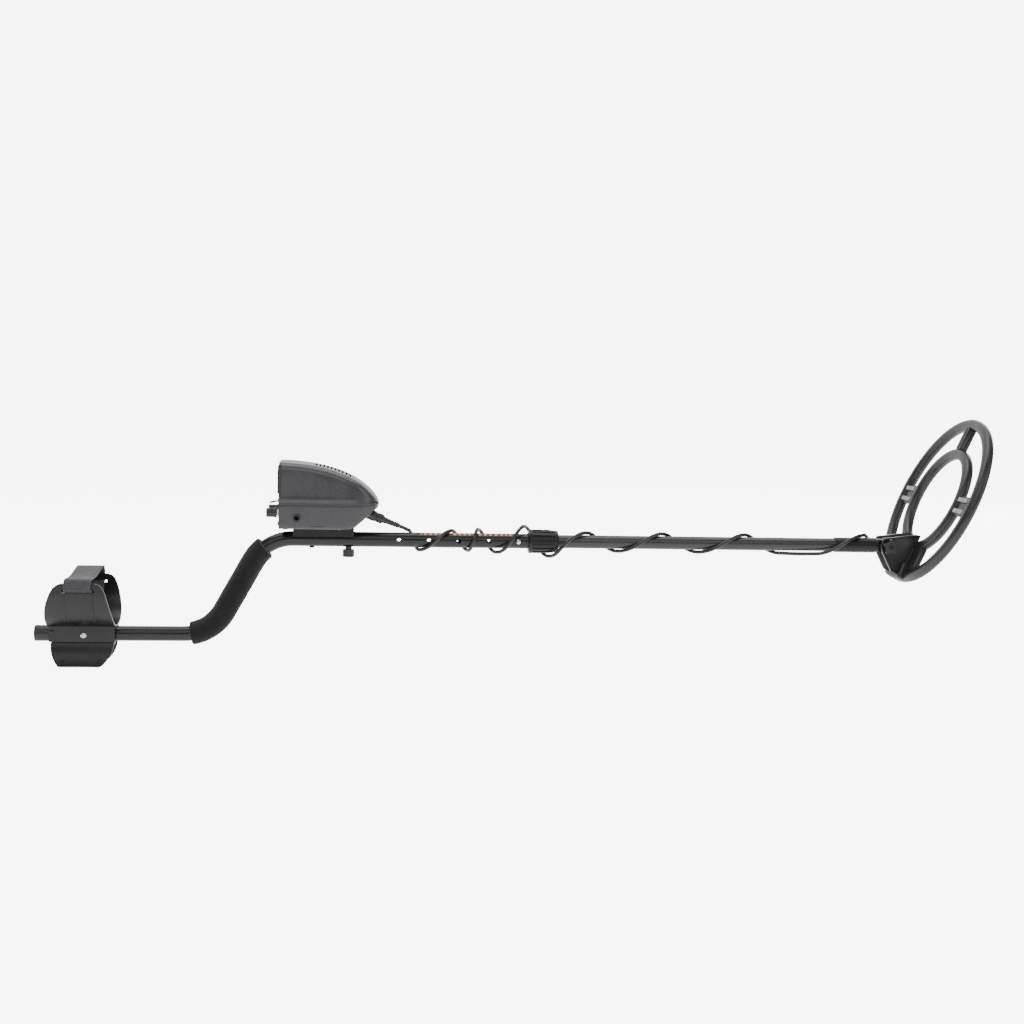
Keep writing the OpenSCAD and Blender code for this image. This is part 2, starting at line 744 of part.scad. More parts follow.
module spokes() {
    reach = coil_r - ring_w - inner_r;
    translate([inner_r - 1.5, -spoke_w / 2, 0]) cube([reach + 2, spoke_w, half_h - 1.2]);
    for (side = [-1, 1]) translate([-14, side > 0 ? inner_r - 2 : -coil_r + ring_w - 0.5, 0])
        cube([28, reach + 2.5, 3]);
}

module coil_half() {
    for (ro = [coil_r, inner_r]) rotate_extrude($fn = 96) ring_section(ro);
    web();
    spokes();
}

module coil_upper_shell() {
    color([0.07, 0.07, 0.075]) on_coil() difference() {
        union() {
            coil_half();
            for (side = [-1, 1]) run_y(side > 0 ? ear_y[0] : -ear_y[1], side > 0 ? ear_y[1] : -ear_y[0])
                polygon(ear_outline);
        }
        along_y(-pivot_back, -30, pivot_up, bolt_r, 60);
        translate([gland_u, gland_v, -1]) cylinder(r = 3.5, h = 12);
    }
}

module coil_lower_shell() {
    color([0.07, 0.07, 0.075]) on_coil() mirror([0, 0, 1]) coil_half();
}

module bridge_ribs() {
    color([0.45, 0.45, 0.46]) on_coil() for (side = [-1, 1], x = [-8, 8]) {
        y = side > 0 ? inner_r + 0.2 : -coil_r + ring_w + 0.8;
        translate([x - 2.8, y, 3]) cube([5.6, coil_r - ring_w - inner_r - 1, 3.4]);
    }
}

module winding_ring(ro) {
    rotate_extrude($fn = 96) translate([ro - ring_w / 2, 0]) circle(3, $fn = 24);
}

module outer_winding() { color([0.62, 0.3, 0.12]) on_coil() winding_ring(coil_r); }

module inner_winding() { color([0.62, 0.3, 0.12]) on_coil() winding_ring(inner_r); }

module coil_screws() {
    mid_gap = (coil_r - ring_w + inner_r) / 2;
    color([0.15, 0.15, 0.15]) on_coil() {
        for (side = [-1, 1]) translate([-mid_gap, side * 26, -web_t - 1.4]) cylinder(r = 2.6, h = 1.4);
        for (side = [-1, 1]) translate([0, side * mid_gap, -4.4]) cylinder(r = 2.6, h = 1.4);
    }
}

module cable_gland() {
    color([0.08, 0.08, 0.085]) on_coil() translate([gland_u, gland_v, 0]) {
        translate([0, 0, 1]) cylinder(r = 3.5, h = web_t - 1);
        translate([0, 0, web_t]) cylinder(r = 7, h = 5, $fn = 6);
        translate([0, 0, web_t + 5]) cylinder(r1 = 5.6, r2 = cable_r + 0.8, h = gland_top - web_t - 5);
    }
}

module coil_yoke() {
    color([0.06, 0.06, 0.065]) place() difference() {
        union() {
            along_x(stem_stop - 24, lower_bore_r, 26);
            along_x(stem_stop, lower_r, 8);
            difference() {
                along_x(sleeve_start, sleeve_r, stem_stop + 2 - sleeve_start);
                along_x(sleeve_start - 1, lower_r, stem_stop + 1 - sleeve_start);
            }
            along_y(pivot_x, -9, 0, 10, 18);
            box([pivot_x - 12, -9, -8.6], [pivot_x, 9, 8.6]);
        }
        along_y(pivot_x, -12, 0, bolt_r + 0.05, 24);
    }
}

module ear_washers() {
    color([0.04, 0.04, 0.04]) place() for (y = [-ear_y[0], 9.02]) difference() {
        along_y(pivot_x, y, 0, 9, ear_y[0] - 9.02);
        along_y(pivot_x, y - 1, 0, bolt_r, 5);
    }
}

module pivot_bolt() {
    color([0.08, 0.08, 0.085]) place() {
        along_y(pivot_x, -ear_y[1] - 9, 0, bolt_r, 2 * ear_y[1] + 9);
        translate([pivot_x, ear_y[1], 0]) rotate([-90, 0, 0]) cylinder(r = 7, h = 5, $fn = 6);
    }
}

module wing_nut() {
    lobes = 5;
    color([0.07, 0.07, 0.075]) place() translate([pivot_x, -ear_y[1] - 0.2, 0]) rotate([90, 0, 0])
        difference() {
            union() {
                cylinder(r = 8.4, h = 7.6);
                for (i = [0:lobes - 1]) rotate([0, 0, i * 360 / lobes + 18]) translate([8, 0, 0])
                    cylinder(r = 2.8, h = 7.6);
            }
            translate([0, 0, -1]) cylinder(r = bolt_r + 0.05, h = 12);
        }
}

// Lead

module lead_piece(first, last) {
    sides = 10;
    points = [for (i = [first:last]) each ring_at(lead, i, cable_r, sides)];
    rings = last - first;
    skin = [for (i = [0:rings - 1], k = [0:sides - 1])
        let (a = i * sides + k, b = i * sides + (k + 1) % sides) each [[a, a + sides, b], [b, a + sides, b + sides]]];
    start = [for (k = [0:sides - 1]) k];
    finish = [for (k = [sides - 1:-1:0]) rings * sides + k];
    color([0.03, 0.03, 0.03]) place() polyhedron(points, concat(skin, [start, finish]), convexity = 10);
}

module cable_upper() { lead_piece(0, collar_stop); }

module cable_lower() { lead_piece(collar_stop, tail_stop); }

module cable_tail() { lead_piece(tail_stop, len(lead) - 1); }

upper_stem();
tube_end_cap();
foam_grip();
arm_cuff();
cuff_bolt();
cuff_nut();
arm_foot();
foot_screws();
arm_strap();
box_saddle();
saddle_screw();
clamp_knob();
clamp_nut();
lower_case();
upper_case();
rear_panel();
panel_screws();
case_screws();
meter_case();
meter_dial();
meter_lens();
meter_needle();
toggle_switch();
toggle_lever();
potentiometers();
left_shaft();
right_shaft();
left_knob();
right_knob();
circuit_board();
speaker();
batteries();
battery_door();
headphone_jack();
coil_socket();
coil_plug();
plug_ring();
plug_boot();
collet_bush();
lock_collar();
lower_stem();
button_spring();
snap_button();
coil_yoke();
ear_washers();
pivot_bolt();
wing_nut();
coil_upper_shell();
coil_lower_shell();
bridge_ribs();
outer_winding();
inner_winding();
coil_screws();
cable_gland();
cable_upper();
cable_lower();
cable_tail();
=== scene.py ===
import math

import bmesh
import bpy
from mathutils import Matrix, Vector, noise


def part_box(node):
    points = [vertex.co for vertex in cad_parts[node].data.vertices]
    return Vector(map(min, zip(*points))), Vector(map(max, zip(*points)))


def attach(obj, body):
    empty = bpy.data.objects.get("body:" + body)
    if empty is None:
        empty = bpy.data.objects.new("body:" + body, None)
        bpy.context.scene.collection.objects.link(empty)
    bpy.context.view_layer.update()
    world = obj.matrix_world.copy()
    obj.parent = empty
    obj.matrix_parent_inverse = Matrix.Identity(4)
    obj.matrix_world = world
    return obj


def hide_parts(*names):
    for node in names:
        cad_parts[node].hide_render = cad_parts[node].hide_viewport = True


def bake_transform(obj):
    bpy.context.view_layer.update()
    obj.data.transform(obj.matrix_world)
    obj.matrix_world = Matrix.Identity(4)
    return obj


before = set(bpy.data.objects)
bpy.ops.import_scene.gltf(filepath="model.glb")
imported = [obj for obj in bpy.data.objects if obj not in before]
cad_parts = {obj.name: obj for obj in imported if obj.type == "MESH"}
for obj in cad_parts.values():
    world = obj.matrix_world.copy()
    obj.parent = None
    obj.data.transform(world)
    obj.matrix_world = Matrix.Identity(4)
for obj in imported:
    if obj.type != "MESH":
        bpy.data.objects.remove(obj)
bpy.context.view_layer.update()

# ---------------------------------------------------------------- places
# Shapes are made in millimetres in the stem's own frame: X along the stem, Z up, zero on the axis
# of the straight upper stem, with X = 668 at that tube's front end.

MM = 0.001
STEM_END = 668
STEM_R = 10
LOWER_R = 9
lower_low, lower_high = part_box("lower_stem")
cap_low, cap_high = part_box("tube_end_cap")
coil_low, coil_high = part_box("outer_winding")

AXIS = Vector((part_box("upper_stem")[1].x - STEM_END * MM, 0, (lower_low.z + lower_high.z) / 2))
STEM = Matrix.Translation(AXIS) @ Matrix.Scale(MM, 4)
DROP = (AXIS.z - (cap_low.z + cap_high.z) / 2) / MM
REAR = STEM @ Matrix.Translation((0, 0, -DROP))
TILT = math.radians(66)
COIL = Matrix.Translation((coil_low + coil_high) / 2) @ Matrix.Rotation(-TILT, 4, "Y") @ Matrix.Scale(MM, 4)
PLUG_TILT = math.radians(21)
PLUG_AT = Vector((436, 0, 30.5))
FULL_TURN = 2 * math.pi


def at(x, y, z):
    """A point of the stem's frame, in metres in the shared frame."""
    return STEM @ Vector((x, y, z))


# ---------------------------------------------------------------- camera and room

CAMERA_AT = (429.4, -1906.7, 232.1)
CAMERA_TURN = (5.653, 5.745, 1.345)
CAMERA_LENS = 50.27
PAPER_GLOW = 7.0
PAPER_SHEEN = 1.3


def set_inputs(node, values):
    for name, value in values.items():
        node.inputs[name].default_value = value


def wire(tree, joins):
    """Links (node, output, node, input) rows."""
    for source, output, target, slot in joins:
        tree.links.new(source.outputs[output], target.inputs[slot])


def set_camera():
    yaw, pitch, roll = (math.radians(a) for a in CAMERA_TURN)
    ahead = Vector((math.sin(yaw) * math.cos(pitch), math.cos(yaw) * math.cos(pitch), -math.sin(pitch)))
    level = Vector((math.cos(yaw), -math.sin(yaw), 0))
    rise = level.cross(ahead)
    right = level * math.cos(roll) + rise * math.sin(roll)
    up = rise * math.cos(roll) - level * math.sin(roll)
    data = bpy.data.cameras.new("camera")
    data.sensor_width = 36
    data.lens = CAMERA_LENS
    data.clip_end = 50
    camera = bpy.data.objects.new("camera", data)
    bpy.context.scene.collection.objects.link(camera)
    turn = Matrix((right, up, -ahead)).transposed().to_4x4()
    camera.matrix_world = Matrix.Translation(at(*CAMERA_AT)) @ turn
    bpy.context.scene.camera = camera


def aim(obj, place, target):
    obj.location = place
    obj.rotation_euler = (Vector(target) - Vector(place)).to_track_quat("-Z", "Y").to_euler()


def soft_light(name, place, target, size, energy):
    data = bpy.data.lights.new(name, "AREA")
    data.shape = "RECTANGLE"
    data.size, data.size_y = size
    data.energy = energy
    lamp = bpy.data.objects.new(name, data)
    bpy.context.scene.collection.objects.link(lamp)
    aim(lamp, place, target)


def stage_material():
    """Pale paper, brighter to the camera and in reflections than the light that it gives."""
    made = bpy.data.materials.new("pale_paper")
    made.use_nodes = True
    tree = made.node_tree
    shader = tree.nodes["Principled BSDF"]
    set_inputs(shader, {"Base Color": (0.86, 0.86, 0.87, 1), "Roughness": 0.9,
                        "Specular IOR Level": 0.1, "Emission Color": (1, 1, 1, 1)})
    seen = add_node(tree, "ShaderNodeLightPath")
    glow = add_node(tree, "ShaderNodeMath", {1: PAPER_GLOW}, operation="MULTIPLY")
    sheen = add_node(tree, "ShaderNodeMath", {1: PAPER_SHEEN}, operation="MULTIPLY_ADD")
    wire(tree, [
        (seen, "Is Camera Ray", glow, 0), (seen, "Is Glossy Ray", sheen, 0),
        (glow, 0, sheen, 2), (sheen, 0, shader, "Emission Strength")])
    return made


def build_room():
    """A floor that curves up into a wall, with soft light over and around it."""
    bm = bmesh.new()
    edge = [bm.verts.new((-9, -7, 0)), bm.verts.new((9, -7, 0))]
    line = [bm.edges.new(edge)]
    steps = [((0, 10.5, 0), None), (None, math.radians(90)), ((0, 0, 5), None)]
    for move, bend in steps:
        if bend is None:
            grown = bmesh.ops.extrude_edge_only(bm, edges=line)["geom"]
            bmesh.ops.translate(bm, vec=move, verts=verts_of(grown))
        else:
            grown = bmesh.ops.spin(bm, geom=line, cent=(0, 3.5, 2), axis=(1, 0, 0),
                                   angle=bend, steps=24)["geom_last"]
        line = edges_of(grown)
    bmesh.ops.recalc_face_normals(bm, faces=bm.faces)
    mesh = bpy.data.meshes.new("studio_floor")
    bm.to_mesh(mesh)
    bm.free()
    mesh.shade_smooth()
    mesh.materials.append(stage_material())
    floor = bpy.data.objects.new("studio_floor", mesh)
    bpy.context.scene.collection.objects.link(floor)
    world = bpy.data.worlds.new("soft_room")
    world.use_nodes = True
    set_inputs(world.node_tree.nodes["Background"], {"Color": (0.93, 0.95, 1.0, 1), "Strength": 0.3})
    bpy.context.scene.world = world
    soft_light("overhead", (0.0, 0.3, 2.4), (0.0, 0.0, 0.1), (3.2, 1.6), 55)
    soft_light("front_high", (-0.3, -2.2, 1.8), (0.0, 0.0, 0.1), (3.4, 1.3), 30)
    soft_light("front_right", (2.6, -1.4, 1.2), (0.4, 0.0, 0.15), (1.0, 1.6), 14)
    soft_light("back_right", (1.9, 2.2, 1.0), (0.5, 0.0, 0.2), (1.6, 1.4), 20)


# ---------------------------------------------------------------- surfaces

def add_node(tree, kind, inputs=None, **settings):
    made = tree.nodes.new(kind)
    for name, value in settings.items():
        setattr(made, name, value)
    set_inputs(made, inputs or {})
    return made


def new_group(name, inputs, outputs):
    group = bpy.data.node_groups.new(name, "ShaderNodeTree")
    for socket, kind, value in inputs:
        made = group.interface.new_socket(socket, in_out="INPUT", socket_type=kind)
        made.default_value = value
    for socket, kind in outputs:
        group.interface.new_socket(socket, in_out="OUTPUT", socket_type=kind)
    return group, group.nodes.new("NodeGroupInput"), group.nodes.new("NodeGroupOutput")


def grained_surface_group():
    """Moulded or coated surface: fine grain, cloudy tone, faint scuffs and dust."""
    group, given, result = new_group(
        "grained_surface",
        [("Colour", "NodeSocketColor", (0.05, 0.05, 0.05, 1)),
         ("Worn Colour", "NodeSocketColor", (0.12, 0.12, 0.12, 1)),
         ("Wear", "NodeSocketFloat", 0.3),
         ("Roughness", "NodeSocketFloat", 0.45),
         ("Grain Scale", "NodeSocketFloat", 2200),
         ("Grain Depth", "NodeSocketFloat", 0.2)],
        [("Colour", "NodeSocketColor"), ("Roughness", "NodeSocketFloat"), ("Normal", "NodeSocketVector")])
    place = add_node(group, "ShaderNodeTexCoord")
    grain = add_node(group, "ShaderNodeTexNoise", {"Detail": 2, "Roughness": 0.6})
    cloud = add_node(group, "ShaderNodeTexNoise", {"Scale": 34, "Detail": 4, "Roughness": 0.65})
    stretch = add_node(group, "ShaderNodeMapping", {"Scale": (40, 170, 300), "Rotation": (0.3, 0.2, 0.5)})
    scratch = add_node(group, "ShaderNodeTexNoise", {"Scale": 3.0, "Detail": 6, "Roughness": 0.72})
    threshold = add_node(group, "ShaderNodeMapRange", {"From Min": 0.62, "From Max": 0.74})
    rubbed = add_node(group, "ShaderNodeMath", operation="MULTIPLY")
    patchy = add_node(group, "ShaderNodeMath", operation="MULTIPLY")
    tone = add_node(group, "ShaderNodeMapRange",
                    {"From Min": 0.3, "From Max": 0.7, "To Min": 0.88, "To Max": 1.12})
    shaded = add_node(group, "ShaderNodeMix", {"Factor": 1.0}, data_type="RGBA", blend_type="MULTIPLY")
    worn = add_node(group, "ShaderNodeMix", data_type="RGBA")
    gloss = add_node(group, "ShaderNodeMapRange",
                     {"From Min": 0.3, "From Max": 0.7, "To Min": -0.07, "To Max": 0.07})
    sum_up = add_node(group, "ShaderNodeMath", operation="ADD")
    dulled = add_node(group, "ShaderNodeMath", {1: 0.12}, operation="MULTIPLY")
    final = add_node(group, "ShaderNodeMath", operation="ADD")
    bump = add_node(group, "ShaderNodeBump", {"Distance": 0.00025})
    wire(group, [
        (place, "Object", grain, "Vector"), (given, "Grain Scale", grain, "Scale"),
        (place, "Object", cloud, "Vector"), (place, "Object", stretch, "Vector"),
        (stretch, "Vector", scratch, "Vector"), (scratch, "Fac", threshold, "Value"),
        (threshold, "Result", rubbed, 0), (given, "Wear", rubbed, 1), (rubbed, 0, patchy, 0),
        (cloud, "Fac", patchy, 1), (cloud, "Fac", tone, "Value"), (given, "Colour", shaded, "A"),
        (tone, "Result", shaded, "B"), (patchy, 0, worn, "Factor"), (shaded, "Result", worn, "A"),
        (given, "Worn Colour", worn, "B"), (cloud, "Fac", gloss, "Value"),
        (given, "Roughness", sum_up, 0), (gloss, "Result", sum_up, 1), (patchy, 0, dulled, 0),
        (sum_up, 0, final, 0), (dulled, 0, final, 1), (grain, "Fac", bump, "Height"),
        (given, "Grain Depth", bump, "Strength"), (worn, "Result", result, "Colour"),
        (final, 0, result, "Roughness"), (bump, "Normal", result, "Normal")])
    return group


GRAINED = grained_surface_group()


def surface(name, colour, worn, wear, roughness, scale, depth, metallic=0.0, specular=0.5):
    """A Principled surface fed by the shared grain group."""
    made = bpy.data.materials.new(name)
    made.use_nodes = True
    tree = made.node_tree
    shader = tree.nodes["Principled BSDF"]
    set_inputs(shader, {"Metallic": metallic, "Specular IOR Level": specular})
    skin = add_node(tree, "ShaderNodeGroup", node_tree=GRAINED)
    set_inputs(skin, {"Colour": (*colour, 1), "Worn Colour": (*worn, 1), "Wear": wear,
                      "Roughness": roughness, "Grain Scale": scale, "Grain Depth": depth})
    wire(tree, [(skin, "Colour", shader, "Base Color"), (skin, "Roughness", shader, "Roughness"),
                (skin, "Normal", shader, "Normal")])
    return made


def grey(level, warmth=0.0):
    return (level * (1 + warmth), level, level * (1 - warmth))


def between(tree, value, low, high, soft):
    """1 where value lies between low and high, fading over soft on either side."""
    rise = add_node(tree, "ShaderNodeMapRange", {"From Min": low - soft, "From Max": low})
    fall = add_node(tree, "ShaderNodeMapRange",
                    {"From Min": high, "From Max": high + soft, "To Min": 1.0, "To Max": 0.0})
    both = add_node(tree, "ShaderNodeMath", operation="MULTIPLY")
    tree.links.new(value, rise.inputs["Value"])
    tree.links.new(value, fall.inputs["Value"])
    wire(tree, [(rise, "Result", both, 0), (fall, "Result", both, 1)])
    return both.outputs[0]


def multiply(tree, a, b):
    made = add_node(tree, "ShaderNodeMath", operation="MULTIPLY")
    tree.links.new(a, made.inputs[0])
    tree.links.new(b, made.inputs[1])
    return made.outputs[0]


def printed_tube():
    """Black powder coat with a broken row of orange dashes printed along its top."""
    made = surface("upper_stem_coat", grey(0.006), grey(0.08), 0.12, 0.3, 2600, 0.1, specular=0.4)
    tree = made.node_tree
    shader = tree.nodes["Principled BSDF"]
    coat = next(n for n in tree.nodes if n.type == "GROUP")
    place = add_node(tree, "ShaderNodeTexCoord")
    axes = add_node(tree, "ShaderNodeSeparateXYZ")
    tree.links.new(place.outputs["Object"], axes.inputs[0])
    x, y, z = axes.outputs
    first = between(tree, x, at(496, 0, 0).x, at(524, 0, 0).x, 0.0004)
    second = between(tree, x, at(535, 0, 0).x, at(622, 0, 0).x, 0.0004)
    rows = add_node(tree, "ShaderNodeMath", operation="MAXIMUM")
    tree.links.new(first, rows.inputs[0])
    tree.links.new(second, rows.inputs[1])
    top = between(tree, z, at(0, 0, 6.8).z, 1.0, 0.0002)
    strip = between(tree, y, -0.0062, 0.0062, 0.0002)
    ticks = add_node(tree, "ShaderNodeTexWave", {"Scale": 46, "Distortion": 5.0, "Detail": 1.0},
                     bands_direction="X")
    dash = add_node(tree, "ShaderNodeMapRange", {"From Min": 0.36, "From Max": 0.42})
    wire(tree, [(place, "Object", ticks, "Vector"), (ticks, "Fac", dash, "Value")])
    mask = multiply(tree, multiply(tree, rows.outputs[0], top), multiply(tree, strip, dash.outputs["Result"]))
    ink = add_node(tree, "ShaderNodeMix", {"B": (0.9, 0.3, 0.05, 1)}, data_type="RGBA")
    tree.links.new(mask, ink.inputs["Factor"])
    wire(tree, [(coat, "Colour", ink, "A"), (ink, "Result", shader, "Base Color")])
    return made


def foam():
    """Closed-cell foam: matte, with small open pores."""
    made = surface("grip_foam", grey(0.013, 0.03), grey(0.035), 0.5, 0.85, 900, 0.5, specular=0.2)
    tree = made.node_tree
    shader = tree.nodes["Principled BSDF"]
    set_inputs(shader, {"Sheen Weight": 0.25, "Sheen Roughness": 0.5})
    place = add_node(tree, "ShaderNodeTexCoord")
    pores = add_node(tree, "ShaderNodeTexVoronoi", {"Scale": 850.0})
    height = add_node(tree, "ShaderNodeMapRange", {"From Min": 0.1, "From Max": 0.5})
    bump = add_node(tree, "ShaderNodeBump", {"Strength": 0.55, "Distance": 0.0004})
    coat = next(n for n in tree.nodes if n.type == "GROUP")
    wire(tree, [
        (place, "Object", pores, "Vector"), (pores, "Distance", height, "Value"),
        (height, "Result", bump, "Height"), (coat, "Normal", bump, "Normal"),
        (bump, "Normal", shader, "Normal")])
    return made


def webbing():
    """Woven nylon: rows of warp threads with the weft crossing them, from the piece's own UV map, with
    painted shade in the gaps between threads.
    """
    made = bpy.data.materials.new("strap_webbing")
    made.use_nodes = True
    tree = made.node_tree
    shader = tree.nodes["Principled BSDF"]
    set_inputs(shader, {"Sheen Weight": 0.4, "Sheen Roughness": 0.35, "Specular IOR Level": 0.45})
    place = add_node(tree, "ShaderNodeUVMap", uv_map="weave")
    turned = add_node(tree, "ShaderNodeMapping", {"Rotation": (0, 0, math.radians(90))})
    warp = add_node(tree, "ShaderNodeTexWave", {"Scale": 280.0, "Distortion": 0.4}, bands_direction="X")
    weft = add_node(tree, "ShaderNodeTexWave", {"Scale": 170.0, "Distortion": 0.5}, bands_direction="X")
    cross = add_node(tree, "ShaderNodeMath", operation="MULTIPLY")
    cloud = add_node(tree, "ShaderNodeTexNoise", {"Scale": 90.0, "Detail": 3})
    tone = add_node(tree, "ShaderNodeMapRange", {"To Min": 0.55, "To Max": 1.35})
    # Painted shade: the weave is darker in the gaps between threads and lighter where warp and weft cross
    # over.
    painted_thread_shade = add_node(tree, "ShaderNodeMix", {"A": (0.045, 0.045, 0.05, 1), "B": (0.12, 0.12, 0.13, 1)},
                   data_type="RGBA")
    faded = add_node(tree, "ShaderNodeMix", {"Factor": 1.0}, data_type="RGBA", blend_type="MULTIPLY")
    rough = add_node(tree, "ShaderNodeMapRange", {"To Min": 0.72, "To Max": 0.46})
    bump = add_node(tree, "ShaderNodeBump", {"Strength": 0.8, "Distance": 0.0004})
    wire(tree, [
        (place, 0, warp, "Vector"), (place, 0, turned, "Vector"), (turned, 0, weft, "Vector"),
        (warp, "Fac", cross, 0), (weft, "Fac", cross, 1), (place, 0, cloud, "Vector"),
        (cloud, "Fac", tone, "Value"), (cross, 0, painted_thread_shade, "Factor"), (painted_thread_shade, "Result", faded, "A"),
        (tone, "Result", faded, "B"), (cross, 0, rough, "Value"), (cross, 0, bump, "Height"),
        (faded, "Result", shader, "Base Color"), (rough, "Result", shader, "Roughness"),
        (bump, "Normal", shader, "Normal")])
    return made


def window_glass():
    made = surface("clear_window", (0.92, 0.94, 0.95), (0.8, 0.82, 0.84), 0.05, 0.06, 900, 0.01)
    made.node_tree.nodes["Principled BSDF"].inputs["Transmission Weight"].default_value = 0.96
    return made


SKINS = {
    "printed_tube": printed_tube(),
    "foam": foam(),
    "webbing": webbing(),
    "glass": window_glass(),
    "tube": surface("lower_stem_coat", (0.026, 0.024, 0.027), grey(0.1), 0.15, 0.32, 2600, 0.1),
    "rubber": surface("end_cap_rubber", grey(0.014), grey(0.06), 0.4, 0.45, 1500, 0.3),
    "rest": surface("arm_rest_plastic", grey(0.008, 0.06), grey(0.05), 0.25, 0.36, 1700, 0.35, specular=0.4),
    "case": surface("control_case_plastic", (0.05, 0.049, 0.054), grey(0.12), 0.06, 0.3, 1900, 0.2),
    "panel": surface("rear_panel_plastic", grey(0.018), grey(0.1), 0.3, 0.45, 1900, 0.3),
    "knob": surface("knob_plastic", grey(0.012), grey(0.1), 0.4, 0.34, 2400, 0.12),
    "fitting": surface("fitting_nylon", grey(0.006), grey(0.05), 0.3, 0.36, 1300, 0.3, specular=0.3),
    "coil": surface("coil_plastic", grey(0.015), grey(0.12), 0.3, 0.36, 2000, 0.14),
    "rib": surface("pale_rib_plastic", grey(0.42), grey(0.5), 0.3, 0.5, 1500, 0.25),
    "lead": surface("lead_jacket", grey(0.01), grey(0.06), 0.4, 0.36, 2400, 0.12),
    "steel": surface("bright_zinc", grey(0.62), grey(0.42), 0.5, 0.28, 2600, 0.1, metallic=1.0),
    "black_steel": surface("blackened_steel", grey(0.1), grey(0.25), 0.4, 0.36, 2400, 0.1, metallic=1.0),
    "chrome": surface("button_chrome", grey(0.78), grey(0.6), 0.2, 0.12, 2600, 0.03, metallic=1.0),
    "spring": surface("spring_steel", grey(0.45), (0.3, 0.27, 0.22), 0.5, 0.3, 2200, 0.1, metallic=1.0),
    "card": surface("dial_card", (0.85, 0.84, 0.79), (0.7, 0.68, 0.6), 0.3, 0.7, 1800, 0.1),
    "ink": surface("dial_ink", grey(0.03), grey(0.06), 0.2, 0.6, 2500, 0.05),
    "white_mark": surface("white_mark_paint", grey(0.75), grey(0.5), 0.4, 0.5, 2500, 0.1),
    "needle": surface("needle_paint", (0.6, 0.05, 0.03), (0.4, 0.05, 0.03), 0.2, 0.4, 2500, 0.05),
    "board": surface("solder_mask", (0.02, 0.13, 0.05), (0.05, 0.2, 0.09), 0.4, 0.35, 1500, 0.2),
    "speaker": surface("speaker_paper", grey(0.05), grey(0.1), 0.3, 0.65, 1200, 0.4),
    "battery": surface("battery_jacket", (0.1, 0.1, 0.11), grey(0.3), 0.4, 0.3, 2000, 0.1, metallic=0.4),
    "copper": surface("enamelled_copper", (0.6, 0.26, 0.1), (0.4, 0.18, 0.08), 0.4, 0.3, 900, 0.5,
                      metallic=0.9),
}

# ---------------------------------------------------------------- shape tools


def verts_of(geom):
    return [g for g in geom if isinstance(g, bmesh.types.BMVert)]


def edges_of(geom):
    return [g for g in geom if isinstance(g, bmesh.types.BMEdge)]


def soften(bm, width, segments=2, sharper_than=30):
    """Rounds every edge whose two faces meet at a clear angle."""
    limit = math.radians(sharper_than)
    sharp = [e for e in bm.edges if e.is_manifold and e.calc_face_angle() > limit]
    bmesh.ops.bevel(bm, geom=sharp, offset=width, offset_type="OFFSET", affect="EDGES",
                    segments=segments, profile=0.5, clamp_overlap=True, material=-1)


def add(bm, part, place=None):
    """Puts a part into a bigger shape."""
    if place is not None:
        part.transform(place)
    scrap = bpy.data.meshes.new("scrap")
    part.to_mesh(scrap)
    part.free()
    bm.from_mesh(scrap)
    bpy.data.meshes.remove(scrap)
    return bm


def block(low, high, edge=0.0, segments=2):
    bm = bmesh.new()
    low, high = Vector(low), Vector(high)
    size = Matrix.Diagonal((*(high - low), 1))
    bmesh.ops.create_cube(bm, size=1, matrix=Matrix.Translation((low + high) / 2) @ size)
    if edge:
        soften(bm, edge, segments)
    return bm


def slab(outline, low, high, axis, edge=0.0, segments=2):
    """A flat outline given thickness along X, Y or Z."""
    bm = bmesh.new()
    at_axis = "XYZ".index(axis)
    face = bm.faces.new([bm.verts.new((*p[:at_axis], low, *p[at_axis:])) for p in outline])
    grown = bmesh.ops.extrude_face_region(bm, geom=[face])["geom"]
    bmesh.ops.translate(bm, vec=[(high - low) * (axis == name) for name in "XYZ"], verts=verts_of(grown))
    bmesh.ops.recalc_face_normals(bm, faces=bm.faces)
    if edge:
        soften(bm, edge, segments)
    return bm


def turned(profile, steps=64):
    """A line of (along, radius) points turned about the X axis."""
    bm = bmesh.new()
    points = [bm.verts.new((along, 0, radius)) for along, radius in profile]
    lines = [bm.edges.new(pair) for pair in zip(points, points[1:])]
    bmesh.ops.spin(bm, geom=points + lines, cent=(0, 0, 0), axis=(1, 0, 0), angle=FULL_TURN,
                   steps=steps, use_merge=True)
    bmesh.ops.remove_doubles(bm, verts=bm.verts, dist=1e-4)
    bmesh.ops.recalc_face_normals(bm, faces=bm.faces)
    return bm


def ring_of(section, steps=160):
    """A closed section of (radius, height) points turned about Z."""
    bm = bmesh.new()
    points = [bm.verts.new((radius, 0, height)) for radius, height in section]
    lines = [bm.edges.new((a, b)) for a, b in zip(points, points[1:] + points[:1])]
    bmesh.ops.spin(bm, geom=points + lines, cent=(0, 0, 0), axis=(0, 0, 1), angle=FULL_TURN,
                   steps=steps, use_merge=True)
    bmesh.ops.recalc_face_normals(bm, faces=bm.faces)
    return bm


def cad_copy(node, place):
    """A CAD node's shape with its loose triangles joined, in the millimetres of place."""
    bm = bmesh.new()
    bm.from_mesh(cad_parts[node].data)
    bm.transform(place.inverted())
    bmesh.ops.remove_doubles(bm, verts=bm.verts, dist=1e-3)
    bmesh.ops.dissolve_limit(bm, angle_limit=math.radians(0.6), verts=bm.verts, edges=bm.edges)
    return bm


def flowing(points, steps):
    """A smooth line through points, with steps short pieces between each two."""
    ends = [points[0]] + list(points) + [points[-1]]
    line = []
    for a, b, c, d in zip(ends, ends[1:], ends[2:], ends[3:]):
        for k in range(steps):
            t = k / steps
            line.append([
                0.5 * (2 * q + (r - p) * t + (2 * p - 5 * q + 4 * r - s) * t**2
                       + (3 * q - p - 3 * r + s) * t**3)
                for p, q, r, s in zip(a, b, c, d)])
    return line + [list(points[-1])]


